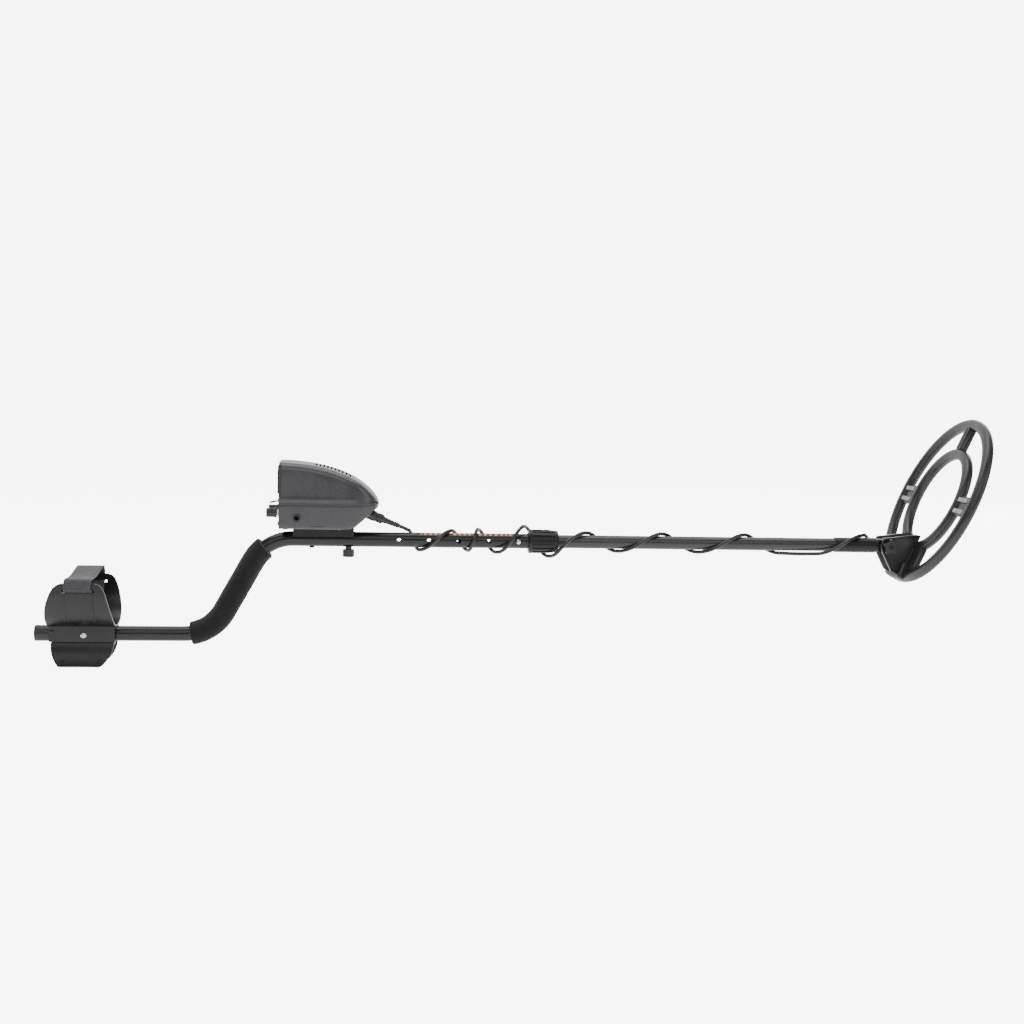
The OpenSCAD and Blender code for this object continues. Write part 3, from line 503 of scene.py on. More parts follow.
def along_line(points, value):
    """Straight-line reading of a table of (value, result) pairs."""
    for (a, ra), (b, rb) in zip(points, points[1:]):
        if value <= b:
            return ra + (rb - ra) * (value - a) / (b - a)
    return points[-1][1]


def grid_places(bm):
    """Each vertex of a flat grid with the numbers of its column and its row."""
    columns = sorted({round(v.co.x, 5) for v in bm.verts})
    rows = sorted({round(v.co.y, 5) for v in bm.verts})
    return [(v, columns.index(round(v.co.x, 5)), rows.index(round(v.co.y, 5))) for v in bm.verts]


def face_out(bm, pick, way):
    """Makes all faces agree, with the picked one looking the given way."""
    bmesh.ops.recalc_face_normals(bm, faces=bm.faces)
    if pick(bm.faces).normal.dot(Vector(way)) < 0:
        bmesh.ops.reverse_faces(bm, faces=bm.faces)


def smooth(mesh, sharp=38):
    mesh.shade_smooth()
    mesh.set_sharp_from_angle(angle=math.radians(sharp))


def even_shading(obj):
    weighted = obj.modifiers.new("even_shading", "WEIGHTED_NORMAL")
    weighted.keep_sharp = True


def piece(name, bm, skin, body=None, stands_for=(), place=STEM, even=True):
    """Makes an object of a shape in millimetres, puts it in its place, and says what it rides on."""
    bm.transform(place)
    mesh = bpy.data.meshes.new(name)
    bm.to_mesh(mesh)
    bm.free()
    mesh.materials.append(SKINS[skin])
    smooth(mesh)
    made = bpy.data.objects.new(name, mesh)
    bpy.context.scene.collection.objects.link(made)
    if even:
        even_shading(made)
    if body:
        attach(made, body)
    if stands_for:
        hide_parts(*stands_for)
    return made


def eased(node, skin, body, width, segments=2, place=STEM):
    """A CAD node with its sharp edges rounded, which stands for the node."""
    bm = cad_copy(node, place)
    soften(bm, width, segments)
    return piece(node + "_moulded", bm, skin, body, [node], place)


def applied(obj, name, kind, **settings):
    """Adds a modifier and makes it part of the mesh at once."""
    modifier = obj.modifiers.new(name, kind)
    for key, value in settings.items():
        setattr(modifier, key, value)
    graph = bpy.context.evaluated_depsgraph_get()
    shaped = bpy.data.meshes.new_from_object(obj.evaluated_get(graph))
    obj.modifiers.clear()
    old = obj.data
    obj.data = shaped
    bpy.data.meshes.remove(old)


def cut_away(obj, cutter_bm, place):
    """Takes a cutter's shape out of a piece."""
    cutter_bm.transform(place)
    mesh = bpy.data.meshes.new("cutter")
    cutter_bm.to_mesh(mesh)
    cutter_bm.free()
    cutter = bpy.data.objects.new("cutter", mesh)
    bpy.context.scene.collection.objects.link(cutter)
    applied(obj, "cut", "BOOLEAN", object=cutter, operation="DIFFERENCE", solver="EXACT")
    bpy.data.objects.remove(cutter)
    bpy.data.meshes.remove(mesh)


def thicken(obj, wall):
    applied(obj, "wall", "SOLIDIFY", thickness=wall * MM, offset=-1, use_even_offset=True, use_rim=True)


def round_edges(obj, width, segments=3, angle=40):
    applied(obj, "rounding", "BEVEL", width=width * MM, segments=segments, limit_method="ANGLE",
            angle_limit=math.radians(angle), profile=0.5, use_clamp_overlap=True)
    smooth(obj.data)


# ---------------------------------------------------------------- lead

CABLE_R = 2.5
ON_UPPER = STEM_R + CABLE_R + 0.8
ON_LOWER = LOWER_R + CABLE_R + 0.8
ON_COLLAR = 20.3
BOOT_END = 33
GLAND = COIL @ Vector((-99, 30, 20.03))
# The last bends between the windings and the gland
LEAD_TAIL = [(1114, 8.5, 11.8), (1119.5, 17, 6.5), (1126, 25, -1)]
PLUG_WAY = Vector((math.cos(PLUG_TILT), 0, -math.sin(PLUG_TILT)))
# Each stop is (place along the stem, turns made round it, distance from its axis)
LEAD_STOPS = [
    (479, 0.5, ON_UPPER), (493, 1, ON_UPPER), (537, 1.5, ON_UPPER), (559, 2, ON_UPPER),
    (572, 2.5, ON_UPPER + 2), (596, 3, ON_UPPER + 2), (634, 3.5, ON_COLLAR), (668, 4, ON_COLLAR),
    (684, 4.2, ON_COLLAR), (704, 4.36, ON_LOWER + 1.2), (720, 4.5, ON_LOWER), (761, 5, ON_LOWER),
    (823, 5.5, ON_LOWER), (872, 6, ON_LOWER), (938, 6.5, ON_LOWER), (985, 7, ON_LOWER),
    (1046, 7.1, ON_LOWER + 2), (1108, 7.5, ON_LOWER + 1.8)]
COLLAR_PART_END = 688


def wound(x, turns, radius):
    angle = FULL_TURN * turns
    return Vector((x, -radius * math.sin(angle), -radius * math.cos(angle)))


def lead_line():
    """The lead's whole route in the stem's millimetres: plug, windings, then down to the gland."""
    plug_end = PLUG_AT + PLUG_WAY * BOOT_END
    line = [plug_end - PLUG_WAY * 3, plug_end, plug_end + PLUG_WAY * 5]
    for a, b in zip(LEAD_STOPS, LEAD_STOPS[1:]):
        steps = max(6, math.ceil((b[1] - a[1]) / 0.045))
        line += [wound(*(p + (q - p) * k / steps for p, q in zip(a, b))) for k in range(steps)]
    line.append(wound(*LEAD_STOPS[-1]))
    mouth = STEM.inverted() @ GLAND
    out = Vector((-math.sin(TILT), 0, math.cos(TILT)))
    line += [Vector(p) for p in LEAD_TAIL]
    return line + [mouth + out * 11, mouth + out * 5, mouth - out * 2]


def lead_part(name, line, bodies, node):
    curve = bpy.data.curves.new(name, "CURVE")
    curve.dimensions = "3D"
    curve.bevel_depth = CABLE_R * MM
    curve.bevel_resolution = 4
    curve.use_fill_caps = True
    curve.resolution_u = 3
    spline = curve.splines.new("NURBS")
    spline.points.add(len(line) - 1)
    for point, place in zip(spline.points, line):
        point.co = (*(STEM @ place), 1)
    spline.order_u = 4
    spline.use_endpoint_u = True
    scrap = bpy.data.objects.new(name, curve)
    mesh = bpy.data.meshes.new_from_object(scrap)
    bpy.data.objects.remove(scrap)
    bpy.data.curves.remove(curve)
    mesh.name = name
    mesh.materials.clear()
    mesh.materials.append(SKINS["lead"])
    mesh.shade_smooth()
    made = bpy.data.objects.new(name, mesh)
    bpy.context.scene.collection.objects.link(made)
    if len(bodies) == 1:
        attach(made, bodies[0])
    else:
        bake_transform(made)
    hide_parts(node)
    return made


def build_lead():
    line = lead_line()
    first = next(i for i, p in enumerate(line) if p.x > COLLAR_PART_END)
    last = max(i for i, p in enumerate(line) if p.x <= LEAD_STOPS[-1][0] + 0.01 and i < len(line) - 6)
    lead_part("lead_at_collar", line[:first + 1], ["handle"], "cable_upper")
    lead_part("lead_on_lower_stem", line[first:last + 1], ["handle", "extension"], "cable_lower")
    lead_part("lead_to_coil", line[last:], ["extension", "coil"], "cable_tail")


# ---------------------------------------------------------------- stem, grip and collar

BEND_R = 60
BEND = math.radians(61)
UPPER_CORNER = 291.2
COLLAR_START = 641


def build_grip():
    """Foam sleeve over the hand grip stretch, from one bend to the other."""
    grip_r, bore = 15.7, STEM_R + 0.2
    reach = BEND_R * math.tan(BEND / 2)
    lower_corner = UPPER_CORNER - DROP / math.tan(BEND)
    slope = DROP / math.sin(BEND) - 2 * reach
    low_centre = Vector((lower_corner - reach, 0, -DROP + BEND_R))
    high_centre = Vector((UPPER_CORNER + reach, 0, -BEND_R))
    start, finish = math.radians(9), math.radians(37)
    bm = bmesh.new()

    def spun(line, centre, angle, steps):
        last = bmesh.ops.spin(bm, geom=line, cent=centre, axis=(0, 1, 0), angle=angle, steps=steps)
        return edges_of(last["geom_last"])

    def pushed(line, way, length, scale=None):
        grown = bmesh.ops.extrude_edge_only(bm, edges=line)["geom"]
        verts = verts_of(grown)
        bmesh.ops.translate(bm, vec=way * length, verts=verts)
        if scale:
            middle = sum((v.co for v in verts), Vector()) / len(verts)
            bmesh.ops.scale(bm, vec=(scale,) * 3, space=Matrix.Translation(-middle), verts=verts)
        return edges_of(grown)

    ring = Matrix.Translation(low_centre + BEND_R * Vector((math.sin(start), 0, -math.cos(start))))
    ring = ring @ Matrix.Rotation(-start, 4, "Y") @ Matrix.Rotation(math.radians(90), 4, "Y")
    made = bmesh.ops.create_circle(bm, segments=48, radius=bore, matrix=ring)["verts"]
    line = list({e for v in made for e in v.link_edges})
    way = Vector((math.cos(start), 0, math.sin(start)))
    lip = [(0, bore, 13.9), (0.5, 13.9, 14.9), (1.1, 14.9, 15.5), (1.6, 15.5, grip_r)]
    for length, radius_from, radius_to in lip:
        line = pushed(line, way, length, radius_to / radius_from)
    lead_in = 3.2 / BEND_R
    line = spun(line, low_centre, -(BEND - start - lead_in), 26)
    way = Vector((math.cos(BEND), 0, math.sin(BEND)))
    for _ in range(8):
        line = pushed(line, way, slope / 8)
    line = spun(line, high_centre, BEND - finish - lead_in, 14)
    way = Vector((math.cos(finish), 0, math.sin(finish)))
    for length, radius_to, radius_from in reversed(lip):
        line = pushed(line, way, length, radius_to / radius_from)
    bmesh.ops.remove_doubles(bm, verts=bm.verts, dist=1e-3)
    bmesh.ops.recalc_face_normals(bm, faces=bm.faces)
    bm.normal_update()
    for v in bm.verts:
        v.co += v.normal * (0.28 * noise.noise(v.co * 0.09) + 0.1 * noise.noise(v.co * 0.35))
    grip = piece("foam_sleeve", bm, "foam", "handle", ["foam_grip"])


def build_collar():
    """Lock collar: a barrel with rounded end bands and raised ribs between them."""
    body = turned([
        (0, 11.2), (0, 15), (0.3, 15.7), (1.2, 16.3), (3.4, 16.4), (4.6, 16), (5.2, 15.1), (12, 15.1),
        (26, 14.7), (34, 14.2), (34.8, 14.9), (36, 15), (38.4, 14.7), (39.6, 14), (40, 13.2), (40, 9.5)], 96)
    ribs = 14
    for i in range(ribs):
        rib = slab([(4.6, 13), (4.6, 15.6), (6, 16.1), (12, 16.2), (26, 15.9), (33, 15.2), (34.6, 14.6),
                    (34.6, 13)], -1.25, 1.25, "Y", 0.5, 2)
        add(body, rib, Matrix.Rotation(i * FULL_TURN / ribs, 4, "X"))
    piece("lock_collar_ribbed", body, "fitting", "collar", ["lock_collar"],
          STEM @ Matrix.Translation((COLLAR_START, 0, 0)))


# ---------------------------------------------------------------- arm rest

CUFF_R = 48
CUFF_WALL = 3
CUFF_Z = STEM_R - 1 + CUFF_R
WING_TOP = 73
STRAP_MID = 56
SLOT_W = 41
SLOT_Z = (61, 64.6)
# Edges as (height, place along the tube)
REAR_EDGE = [(9, 12), (16, 11.2), (28, 11.6), (40, 13.4), (52, 16.6), (62, 21), (68, 25), (71.5, 29.5),
             (73, 34.5)]
FRONT_EDGE = [(9, 97), (14, 98), (24, 97.5), (36, 95.6), (46, 93.4), (60, 89.8), (67, 86.6), (71.5, 82.5),
              (73, 77)]


def cuff_line():
    """Half of the cuff's cross-section as (y, z) points, from the bottom out and up to the wing's top."""
    arc = [math.radians(a) for a in (0, 8, 16, 24, 32, 41, 50, 60, 70, 80, 90)]
    half = [(CUFF_R * math.sin(a), CUFF_Z - CUFF_R * math.cos(a)) for a in arc]
    return half + [(CUFF_R, z) for z in (*SLOT_Z, 67.5, 71, WING_TOP)]


def cuff_shell():
    half = cuff_line()
    line = [(-y, z) for y, z in reversed(half[1:])] + half
    inner = [STRAP_MID - SLOT_W / 2 + SLOT_W * t for t in (0, 0.25, 0.5, 0.75, 1)]
    bm = bmesh.new()
    bmesh.ops.create_grid(bm, x_segments=len(inner) + 5, y_segments=len(line) - 1, size=0.5)
    for v, column, row in grid_places(bm):
        y, z = line[row]
        rear, front = along_line(REAR_EDGE, z), along_line(FRONT_EDGE, z)
        gap_r, gap_f = inner[0] - rear, front - inner[-1]
        across = [rear, rear + min(3, gap_r * 0.3), rear + gap_r * 0.6, *inner,
                  front - gap_f * 0.6, front - min(3, gap_f * 0.3), front]
        v.co = (across[column], y, z)
    slot = [f for f in bm.faces
            if SLOT_Z[0] < f.calc_center_median().z < SLOT_Z[1]
            and inner[0] < f.calc_center_median().x < inner[-1]]
    bmesh.ops.delete(bm, geom=slot, context="FACES")
    near = Vector((STRAP_MID, -CUFF_R, 66))
    face_out(bm, lambda faces: min(faces, key=lambda f: (f.calc_center_median() - near).length), (0, -1, 0))
    for side in (-1, 1):
        field = [f for f in bm.faces
                 if f.calc_center_median().y * side > 30 and 14 < f.calc_center_median().z < SLOT_Z[0]
                 and inner[0] < f.calc_center_median().x < inner[-1]]
        for inset, depth in ((1.0, 0.0), (0.5, 0.9), (2.0, 0.0), (0.4, -0.5)):
            bmesh.ops.inset_region(bm, faces=field, thickness=inset, depth=depth, use_even_offset=True)
    return bm


def cuff_base():
    """The saddle block under the cuff that grips the rear tube."""
    outline = [(-16, -9.4), (-16, 12.5), (-12, 13.4), (-6, 12.6), (0, 12.2), (6, 12.6), (12, 13.4),
               (16, 12.5), (16, -9.4), (10.1, -9.4), (10.1, 0)]
    arch = [(10.1 * math.cos(a), 10.1 * math.sin(a)) for a in (math.radians(d) for d in range(20, 161, 20))]
    base = slab(outline + arch + [(-10.1, 0), (-10.1, -9.4)], 12, 97, "X")
    soften(base, 0.9, 2, 50)
    for side in (-1, 1):
        bump = turned([(-3, 0), (-2.9, 1.5), (-2.2, 2.8), (-1, 3.5), (0, 3.6), (4, 3.6), (4, 0)], 24)
        add(base, bump, Matrix.Translation((15, side * 13.5, 4.5)))
    return base


def build_arm_rest():
    shell = piece("cuff_wings", cuff_shell(), "rest", None, [], REAR, even=False)
    thicken(shell, CUFF_WALL)
    round_edges(shell, 0.9)
    even_shading(shell)
    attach(shell, "handle")
    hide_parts("arm_cuff")
    piece("cuff_saddle", cuff_base(), "rest", "handle", [], REAR)
    build_foot()
    build_strap()
    build_cuff_bolt()


FOOT_REAR = [(-40, 27), (-38, 24.5), (-34, 21), (-30, 18.5), (-26, 16.5), (-21, 15), (-16, 14.5), (-9, 15)]
FOOT_FRONT = [(-40, 79.5), (-38, 81.5), (-34, 85.5), (-29, 89.5), (-24, 92.5), (-18, 94.5), (-14, 95.5),
              (-9, 96)]
PIN_PLACES = (31.5, 77)


def build_foot():
    """Two flared plates joined under the tube."""
    heights = [-40, -38.5, -36, -33, -30, -27, -24, -21, -18, -15, -12, -9.4]
    bm = bmesh.new()
    for side in (-1, 1):
        half = bmesh.new()
        bmesh.ops.create_grid(half, x_segments=12, y_segments=len(heights) - 1, size=0.5)
        for v, _, row in grid_places(half):
            z = heights[row]
            rear, front = along_line(FOOT_REAR, z), along_line(FOOT_FRONT, z)
            flare = 16.6 + 12.4 * ((-9.4 - z) / 30.6) ** 2.1
            v.co = (rear + (front - rear) * (v.co.x + 0.5), side * flare, z)
        face_out(half, lambda faces: next(iter(faces)), (0, side, 0))
        add(bm, half)
    plates = piece("foot_plates", bm, "rest", None, [], REAR, even=False)
    thicken(plates, 3.6)
    for vertex in plates.data.vertices:
        vertex.co.z = max(vertex.co.z, 0.0)
    round_edges(plates, 1.0)
    even_shading(plates)
    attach(plates, "handle")
    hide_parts("arm_foot")
    outline = [(-15, -9.5), (-15, -15), (15, -15), (15, -9.5), (3.2, -9.6), (0, -10.1), (-3.2, -9.6)]
    piece("foot_bridge", slab(outline, 17, 94, "X", 0.6), "rest", "handle", [], REAR)
    pins = bmesh.new()
    for x in PIN_PLACES:
        for side in (-1, 1):
            dimple = turned([(-2, 0), (-2, 1.9), (0.15, 1.9), (0.3, 1.7), (0.3, 1.1), (-0.2, 0.9),
                             (-0.2, 0)], 24)
            facing = Matrix.Rotation(side * math.radians(90), 4, "Z")
            add(pins, dimple, Matrix.Translation((x, side * 24.6, -33)) @ facing)
    piece("foot_pins", pins, "fitting", "handle", ["foot_screws"], REAR)


STRAP_ROUTE = [
    (-39, 50), (-43, 58), (-44.2, 62.8), (-50.6, 62.8), (-51.6, 68), (-51.2, 73.5), (-48, 77.4), (-42, 78.4),
    (-30, 77.4), (-15, 77.4), (0, 79), (15, 81.2), (30, 83.4), (40, 84.2), (47, 82), (51, 75.5), (51.6, 68),
    (50.6, 62.8), (44.2, 62.8), (43, 58), (39, 50)]


def build_strap():
    """Webbing band out through both slots and over the arm space."""
    line = flowing(STRAP_ROUTE, 5)
    width, columns = 34.0, 10
    bm = bmesh.new()
    verts = [bm.verts.new((STRAP_MID - width / 2, y, z)) for y, z in line]
    edges = [bm.edges.new(pair) for pair in zip(verts, verts[1:])]
    for _ in range(columns):
        grown = bmesh.ops.extrude_edge_only(bm, edges=edges)["geom"]
        bmesh.ops.translate(bm, vec=(width / columns, 0, 0), verts=verts_of(grown))
        edges = edges_of(grown)
    lengths = {}
    run = 0.0
    for k, (y, z) in enumerate(line):
        if k:
            run += math.dist(line[k - 1], line[k])
        lengths[(round(y, 4), round(z, 4))] = run
    weave = bm.loops.layers.uv.new("weave")
    for face in bm.faces:
        for loop in face.loops:
            v = loop.vert.co
            along = lengths.get((round(v.y, 4), round(v.z, 4)), 0.0)
            loop[weave].uv = ((v.x - STRAP_MID) * MM, along * MM)
    for v in bm.verts:
        ripple = 0.35 * noise.noise(Vector((v.co.x * 0.05, v.co.y * 0.06, 3)))
        v.co.z += ripple if abs(v.co.y) < 40 else 0
    face_out(bm, lambda faces: max(faces, key=lambda f: f.calc_center_median().z), (0, 0, 1))
    strap = piece("strap_band", bm, "webbing", None, [], REAR, even=False)
    solid = strap.modifiers.new("thickness", "SOLIDIFY")
    solid.thickness = 1.5 * MM
    solid.offset = 0
    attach(strap, "handle")
    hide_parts("arm_strap")


def build_cuff_bolt():
    head = turned([(2.6, 0), (2.55, 1.4), (2.2, 2.8), (1.4, 3.9), (0.5, 4.3), (0, 4.3), (0, 2), (-36, 2),
                   (-36, 0)], 48)
    place = REAR @ Matrix.Translation((56.7, -16, 0)) @ Matrix.Rotation(math.radians(-90), 4, "Z")
    bolt = piece("cuff_bolt_headed", head, "steel", None, [], place, even=False)
    for turn in (0, 90):
        bar = block((1.3, -2.5, -0.5), (4, 2.5, 0.5))
        bar.transform(Matrix.Rotation(math.radians(turn + 20), 4, "X"))
        cut_away(bolt, bar, place)
    smooth(bolt.data)
    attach(bolt, "handle")
    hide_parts("cuff_bolt")


# ---------------------------------------------------------------- control box

CASE_REAR = 309.5
CASE_NOSE = 439
CASE_LOW = 16.5
SPLIT_Z = 48.0
CASE_H = 55.5
CASE_HALF_W = 42
CASE_WALL = 2.3
STATIONS = [309.5, 312, 320, 330, 340, 350, 360, 370, 380, 390, 400, 408, 415, 421, 426, 430, 433, 435.2,
            437, 438.2, 439]
KNOB_Y = 24
LOUVRE_STEP = 4.9


def case_width(x):
    t = max(0.0, (x - 375) / 65.2)
    return CASE_HALF_W * (1 - t**2.4) ** (1 / 3)


def case_top(x):
    t = (x - CASE_REAR) / (440.2 - CASE_REAR)
    return CASE_H * (1 - t**2.1) ** 0.6


def case_bottom(x):
    """Depth of the lower shell below the split."""
    depth = SPLIT_Z - CASE_LOW
    ramp = (442 - x) * 0.862
    soft = 2.0
    return min(depth, ramp) - soft * math.exp(-abs(depth - ramp) / soft) / 4


def upper_section(half, tall):
    """Half of the upper shell's section, from the middle of its top down to the lip."""
    corner = min(10, half * 0.55, tall * 0.55)
    lean = min(3.4, half * 0.2)
    flare = min(1.0, tall / 26)
    shoulder = half - lean
    crown = min(0.8, tall * 0.05)
    side_top = tall - crown - corner
    top = [(0, tall), (0.24, tall), (0.49, tall - crown * 0.15)]
    points = [(shoulder * t, z) for t, z in top] + [(shoulder - corner, tall - crown * 0.5)]
    for a in (18, 36, 54, 72, 90):
        angle = math.radians(a)
        points.append((shoulder - corner + corner * math.sin(angle), side_top + corner * math.cos(angle)))
    for t in (0.35, 0.7):
        points.append((shoulder + 0.8 * t, side_top + (13 * flare - side_top) * t))
    lip = [(13, 0.8), (10.5, 0.95), (8, 1.35), (5.5, 2.1), (3.4, lean - 0.15), (2.6, lean), (0.25, lean)]
    for z, out in lip:
        points.append((shoulder + min(out, lean), z * flare))
    return points


def lower_section(half, deep):
    """Half of the lower shell's section, from the ledge under the lip to the middle of its floor."""
    step = min(0.7, half * 0.05)
    lean = min(1.4, half * 0.1)
    corner = min(5, half * 0.4, deep * 0.4)
    points = [(half - step * 0.2, -0.25), (half - step * 0.2, -min(1.2, deep * 0.1))]
    points.append((half - step * 2, -min(1.8, deep * 0.2)))
    side = -(deep - corner)
    for t in (0.25, 0.6, 1.0):
        z = -1.8 + (side + 1.8) * t if deep > 6 else side * t
        points.append((half - step * 2 - (lean - step) * t, z))
    foot = points[-1][0]
    for a in (22, 45, 68, 90):
        angle = math.radians(a)
        points.append((foot - corner + corner * math.cos(angle), side - corner * math.sin(angle)))
    return points + [((foot - corner) * t, -deep) for t in (0.66, 0.33, 0)]


def case_half(section, size):
    """A row of sections from the rear opening to the nose, skinned and closed at the nose."""
    sample = section(CASE_HALF_W, 30)
    bm = bmesh.new()
    bmesh.ops.create_grid(bm, x_segments=len(STATIONS) - 1, y_segments=2 * len(sample) - 2, size=0.5)
    for v, column, row in grid_places(bm):
        x = STATIONS[column]
        half = section(case_width(x), size(x))
        k = row - (len(half) - 1)
        middle = half[0][0] == 0
        y, z = half[abs(k)] if middle else half[len(half) - 1 - abs(k)]
        v.co = (x, math.copysign(y, k), SPLIT_Z + z)
    nose = [e for e in bm.edges if e.is_boundary and all(v.co.x > CASE_NOSE - 0.01 for v in e.verts)]
    bmesh.ops.holes_fill(bm, edges=nose, sides=0)
    face_out(bm, lambda faces: max(faces, key=lambda f: -f.calc_center_median().y), (0, -1, 0))
    return bm


def trim_nose(shell):
    """Draws back the inner wall's vertices that the thickening threw out past the nose."""
    verts = shell.data.vertices
    outer = len(verts) // 2
    for i in range(outer):
        skin, lining = verts[i].co, verts[outer + i].co
        if (lining - skin).length > 3 * CASE_WALL * MM:
            lining.x = skin.x - CASE_WALL * MM
            lining.y = skin.y * 0.7
            lining.z = skin.z


def build_case():
    upper = piece("upper_case_shell", case_half(upper_section, case_top), "case", even=False)
    thicken(upper, CASE_WALL)
    trim_nose(upper)
    slots = bmesh.new()
    for i in range(10):
        along = i * LOUVRE_STEP
        add(slots, block((355.9 + along, -20, 60), (358.1 + along, 20, 120), 0.9, 2))
    cut_away(upper, slots, STEM)
    lower = piece("lower_case_shell", case_half(lower_section, case_bottom), "case", even=False)
    thicken(lower, CASE_WALL)
    trim_nose(lower)
    holes = turned([(-10, 0), (-10, 5), (10, 5), (10, 0)], 48)
    holes.transform(Matrix.Translation((333, -42, 32)) @ Matrix.Rotation(math.radians(90), 4, "Z"))
    add(holes, block((332.2, -44, 19.5), (333.8, -40.2, 26.4), 0.3))
    add(holes, block((350, -44, 20.4), (369, -38.9, 21.2)))
    add(holes, block((321.2, 38.5, 19.2), (376.8, 46, 46.3), 0.4))
    plug_hole = turned([(-30, 0), (-30, 7.1), (8, 7.1), (8, 0)], 48)
    add(holes, plug_hole, Matrix.Translation(PLUG_AT) @ Matrix.Rotation(PLUG_TILT, 4, "Y"))
    cut_away(lower, holes, STEM)
    for shell, node in ((upper, "upper_case"), (lower, "lower_case")):
        smooth(shell.data, 34)
        even_shading(shell)
        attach(shell, "handle")
        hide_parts(node)


def build_rear_panel():
    """Meter, its scale, the marks round the knobs, and the two knobs' pointers."""
    eased("rear_panel", "panel", "handle", 0.5)
    eased("meter_case", "panel", "handle", 0.7, 3)
    marks = bmesh.new()
    for side in (-1, 1):
        for k in range(11):
            tick = block((-0.25, -0.3, 8.4), (0.15, 0.3, 10.6 if k % 5 == 0 else 9.8))
            turn = Matrix.Rotation(math.radians(-135 + 27 * k), 4, "X")
            add(marks, tick, Matrix.Translation((CASE_REAR, side * KNOB_Y, 36.8)) @ turn)
    piece("panel_marks", marks, "white_mark", "handle")
    scale = bmesh.new()
    hub = Matrix.Translation((CASE_REAR + 5.9, 0, 68))
    for k in range(21):
        tall = 21.6 if k % 5 == 0 else 20.6
        tick = block((-0.12, -0.16, 19), (0.1, 0.16, tall))
        add(scale, tick, hub @ Matrix.Rotation(math.radians(-42 + 4.2 * k), 4, "X"))
    for k in range(28):
        arc = block((-0.12, -0.5, 18.8), (0.1, 0.5, 19.1))
        add(scale, arc, hub @ Matrix.Rotation(math.radians(-41 + 82 / 27 * k), 4, "X"))
    piece("dial_scale", scale, "ink", "handle")
    for side, name in ((1, "left_knob"), (-1, "right_knob")):
        eased(name, "knob", name, 0.3)
        y = side * KNOB_Y
        pointer = block((CASE_REAR - 16.9, y - 0.4, 38), (CASE_REAR - 16.4, y + 0.4, 42.2), 0.15)
        piece(name + "_pointer", pointer, "white_mark", name)
        eased(name.replace("knob", "shaft"), "steel", name, 0.2)


def build_box_fittings():
    eased("box_saddle", "fitting", "handle", 0.8)
    eased("clamp_knob", "knob", "clamp_knob", 0.6)
    eased("battery_door", "case", "battery_door", 0.4)
    eased("headphone_jack", "knob", "handle", 0.35)
    eased("coil_plug", "knob", "handle", 0.4)
    eased("plug_ring", "knob", "plug_ring", 0.25)
    eased("coil_socket", "knob", "handle", 0.3)
    eased("saddle_screw", "fitting", "handle", 0.4)
    boot = turned([
        (13, 0), (13, 4.2), (15.6, 4.2), (16.2, 3.7), (17.2, 3.7), (17.8, 4.1), (19.6, 4.0), (20.2, 3.5),
        (21.2, 3.5), (21.8, 3.9), (23.6, 3.8), (24.2, 3.3), (25.2, 3.3), (25.8, 3.7), (27.6, 3.6),
        (28.2, 3.2), (29.2, 3.2), (29.8, 3.5), (32, 3.3), (32.9, 2.9), (33, 2.4), (33, 0)], 40)
    piece("plug_boot_ribbed", boot, "lead", "handle", ["plug_boot"],
          STEM @ Matrix.Translation(PLUG_AT) @ Matrix.Rotation(PLUG_TILT, 4, "Y"))


# ---------------------------------------------------------------- coil

COIL_R = 123
INNER_R = 78
RING_W = 15
HALF_H = 7
EAR_Y = (11, 16)
EAR = [(-116, 4), (-116, 20.5), (-97, 44), (-90, 50), (-79, 50), (-55, 10), (-54, 4)]
# Half of a ring's section as (share of its width, share of its height)
RING_LINE = [(0, 0.02), (0, 0.18), (0.03, 0.42), (0.08, 0.62), (0.15, 0.78), (0.24, 0.89), (0.36, 0.97),
             (0.5, 1.0)]


def ring_shell(outer, up):
    """Half of a hollow-looking ring: rounded section with a small step at the seam."""
    half = [(outer - a * RING_W, b * HALF_H) for a, b in RING_LINE]
    other = [(outer - (1 - a) * RING_W, b * HALF_H) for a, b in reversed(RING_LINE[:-1])]
    seam = [(outer - RING_W + 0.5, 0.12), (outer - 0.5, 0.12)]
    section = [(r, up * z) for r, z in half + other + seam]
    return ring_of(section)


def web_plate(up):
    """The plate that fills the rear between the two rings."""
    angles = [math.radians(a) for a in range(-19, 20, 2)]
    outer = [(-108.5 * math.cos(a), -108.5 * math.sin(a)) for a in angles]
    inner = [(-77 * math.cos(a), -77 * math.sin(a)) for a in (1.42 * b for b in reversed(angles))]
    return slab(outer + inner, 0.25 * up, 5 * up, "Z", 0.5)


def bridges(up):
    made = slab([(76.5, -7), (109, -7), (109, 7), (76.5, 7)], 0.15 * up, 5.8 * up, "Z", 0.8)
    if up > 0:
        add(made, block((78, -0.7, 5), (108, 0.7, 6.5), 0.4))
    for side in (-1, 1):
        near, far = sorted((76 * side, 109 * side))
        low, high = sorted((0.15 * up, 3 * up))
        add(made, block((-14, near, low), (14, far, high), 0.5))
    return made


def coil_half(up):
    made = ring_shell(COIL_R, up)
    add(made, ring_shell(INNER_R, up))
    add(made, web_plate(up))
    add(made, bridges(up))
    return made


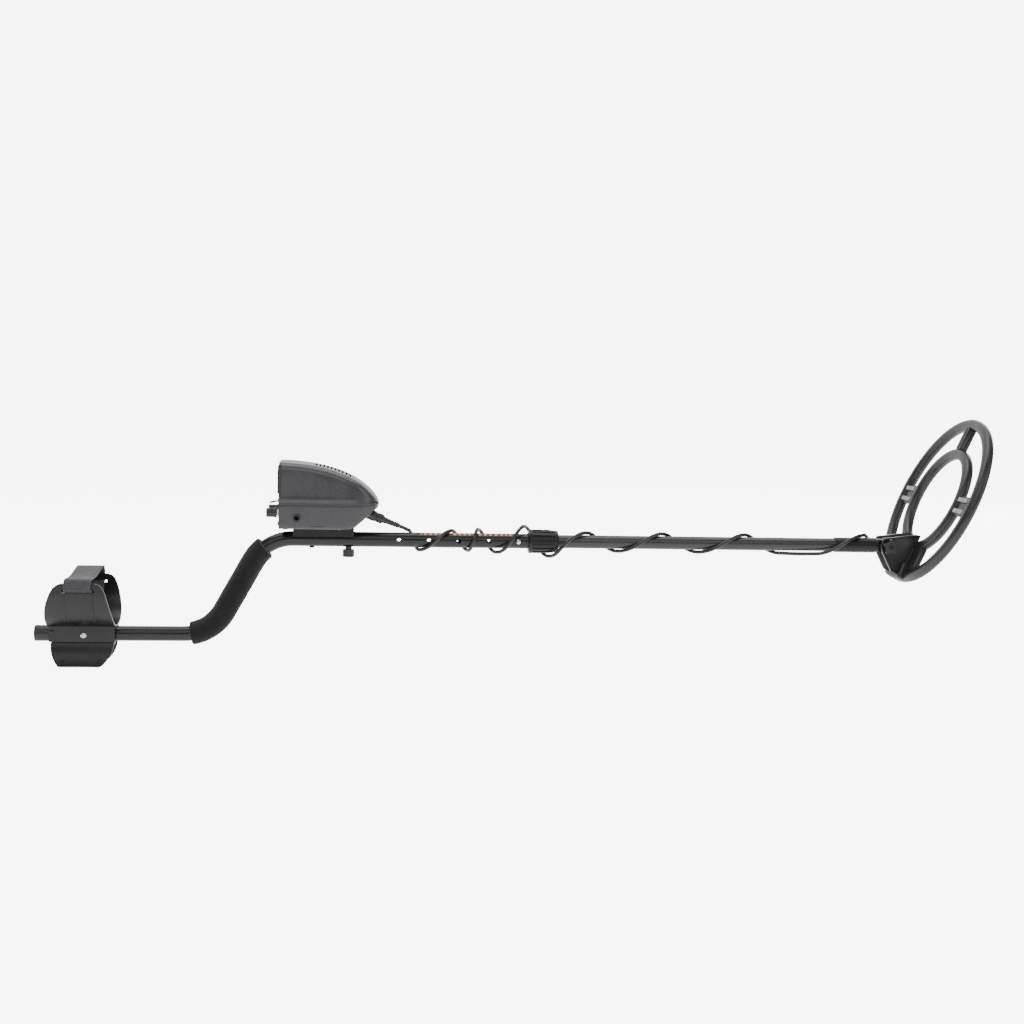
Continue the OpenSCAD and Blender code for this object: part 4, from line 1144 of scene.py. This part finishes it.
def ears():
    """The two upright plates that hold the pivot, each with a raised rim round sunken facets."""
    made = bmesh.new()
    for side in (-1, 1):
        low, high = sorted((side * EAR_Y[0], side * EAR_Y[1]))
        plate = slab(EAR, low, high, "Y")
        outside = max(plate.faces, key=lambda f: f.calc_center_median().y * side)
        bmesh.ops.inset_region(plate, faces=[outside], thickness=2.2, depth=0)
        bmesh.ops.inset_region(plate, faces=[outside], thickness=1.2, depth=-1.2)
        bmesh.ops.poke(plate, faces=[outside], offset=1.3)
        soften(plate, 0.4, 2, 25)
        add(made, plate)
    return made


def heel():
    """The thick rounded end under the pivot, where the windings' ends come together."""
    angles = [math.radians(a) for a in range(-13, 14, 2)]
    outer = [(-122.4 * math.cos(a), -122.4 * math.sin(a)) for a in angles]
    inner = [(-98 * math.cos(a), -98 * math.sin(a)) for a in reversed(angles)]
    made = slab(outer + inner, 1.0, 13.5, "Z")
    soften(made, 4.5, 5, 50)
    return made


def build_coil():
    upper = coil_half(1)
    add(upper, ears())
    add(upper, heel())
    piece("coil_upper_cover", upper, "coil", "coil", ["coil_upper_shell"], COIL, even=False)
    piece("coil_lower_cover", coil_half(-1), "coil", "coil", ["coil_lower_shell"], COIL, even=False)
    eased("bridge_ribs", "rib", "coil", 0.6, place=COIL)
    eased("cable_gland", "fitting", "coil", 0.5, place=COIL)
    eased("coil_screws", "fitting", "coil", 0.3, place=COIL)
    eased("coil_yoke", "fitting", "extension", 0.6)
    eased("pivot_bolt", "fitting", "coil", 0.5)
    eased("wing_nut", "knob", "wing_nut", 0.9, 3)


# ---------------------------------------------------------------- CAD nodes that stay

KEPT = {
    "upper_stem": "printed_tube", "tube_end_cap": "rubber", "cuff_nut": "steel", "clamp_nut": "steel",
    "panel_screws": "black_steel", "case_screws": "black_steel", "meter_dial": "card", "meter_lens": "glass",
    "meter_needle": "needle", "toggle_switch": "steel", "toggle_lever": "black_steel",
    "potentiometers": "steel", "circuit_board": "board", "speaker": "speaker", "batteries": "battery",
    "collet_bush": "fitting", "lower_stem": "tube", "button_spring": "spring", "snap_button": "chrome",
    "ear_washers": "rubber", "outer_winding": "copper", "inner_winding": "copper",
}


def dress_kept_nodes():
    for node, skin in KEPT.items():
        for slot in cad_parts[node].material_slots:
            slot.material = SKINS[skin]


set_camera()
build_lead()
build_room()
dress_kept_nodes()
build_grip()
build_collar()
build_arm_rest()
build_case()
build_rear_panel()
build_box_fittings()
build_coil()

bpy.context.view_layer.update()
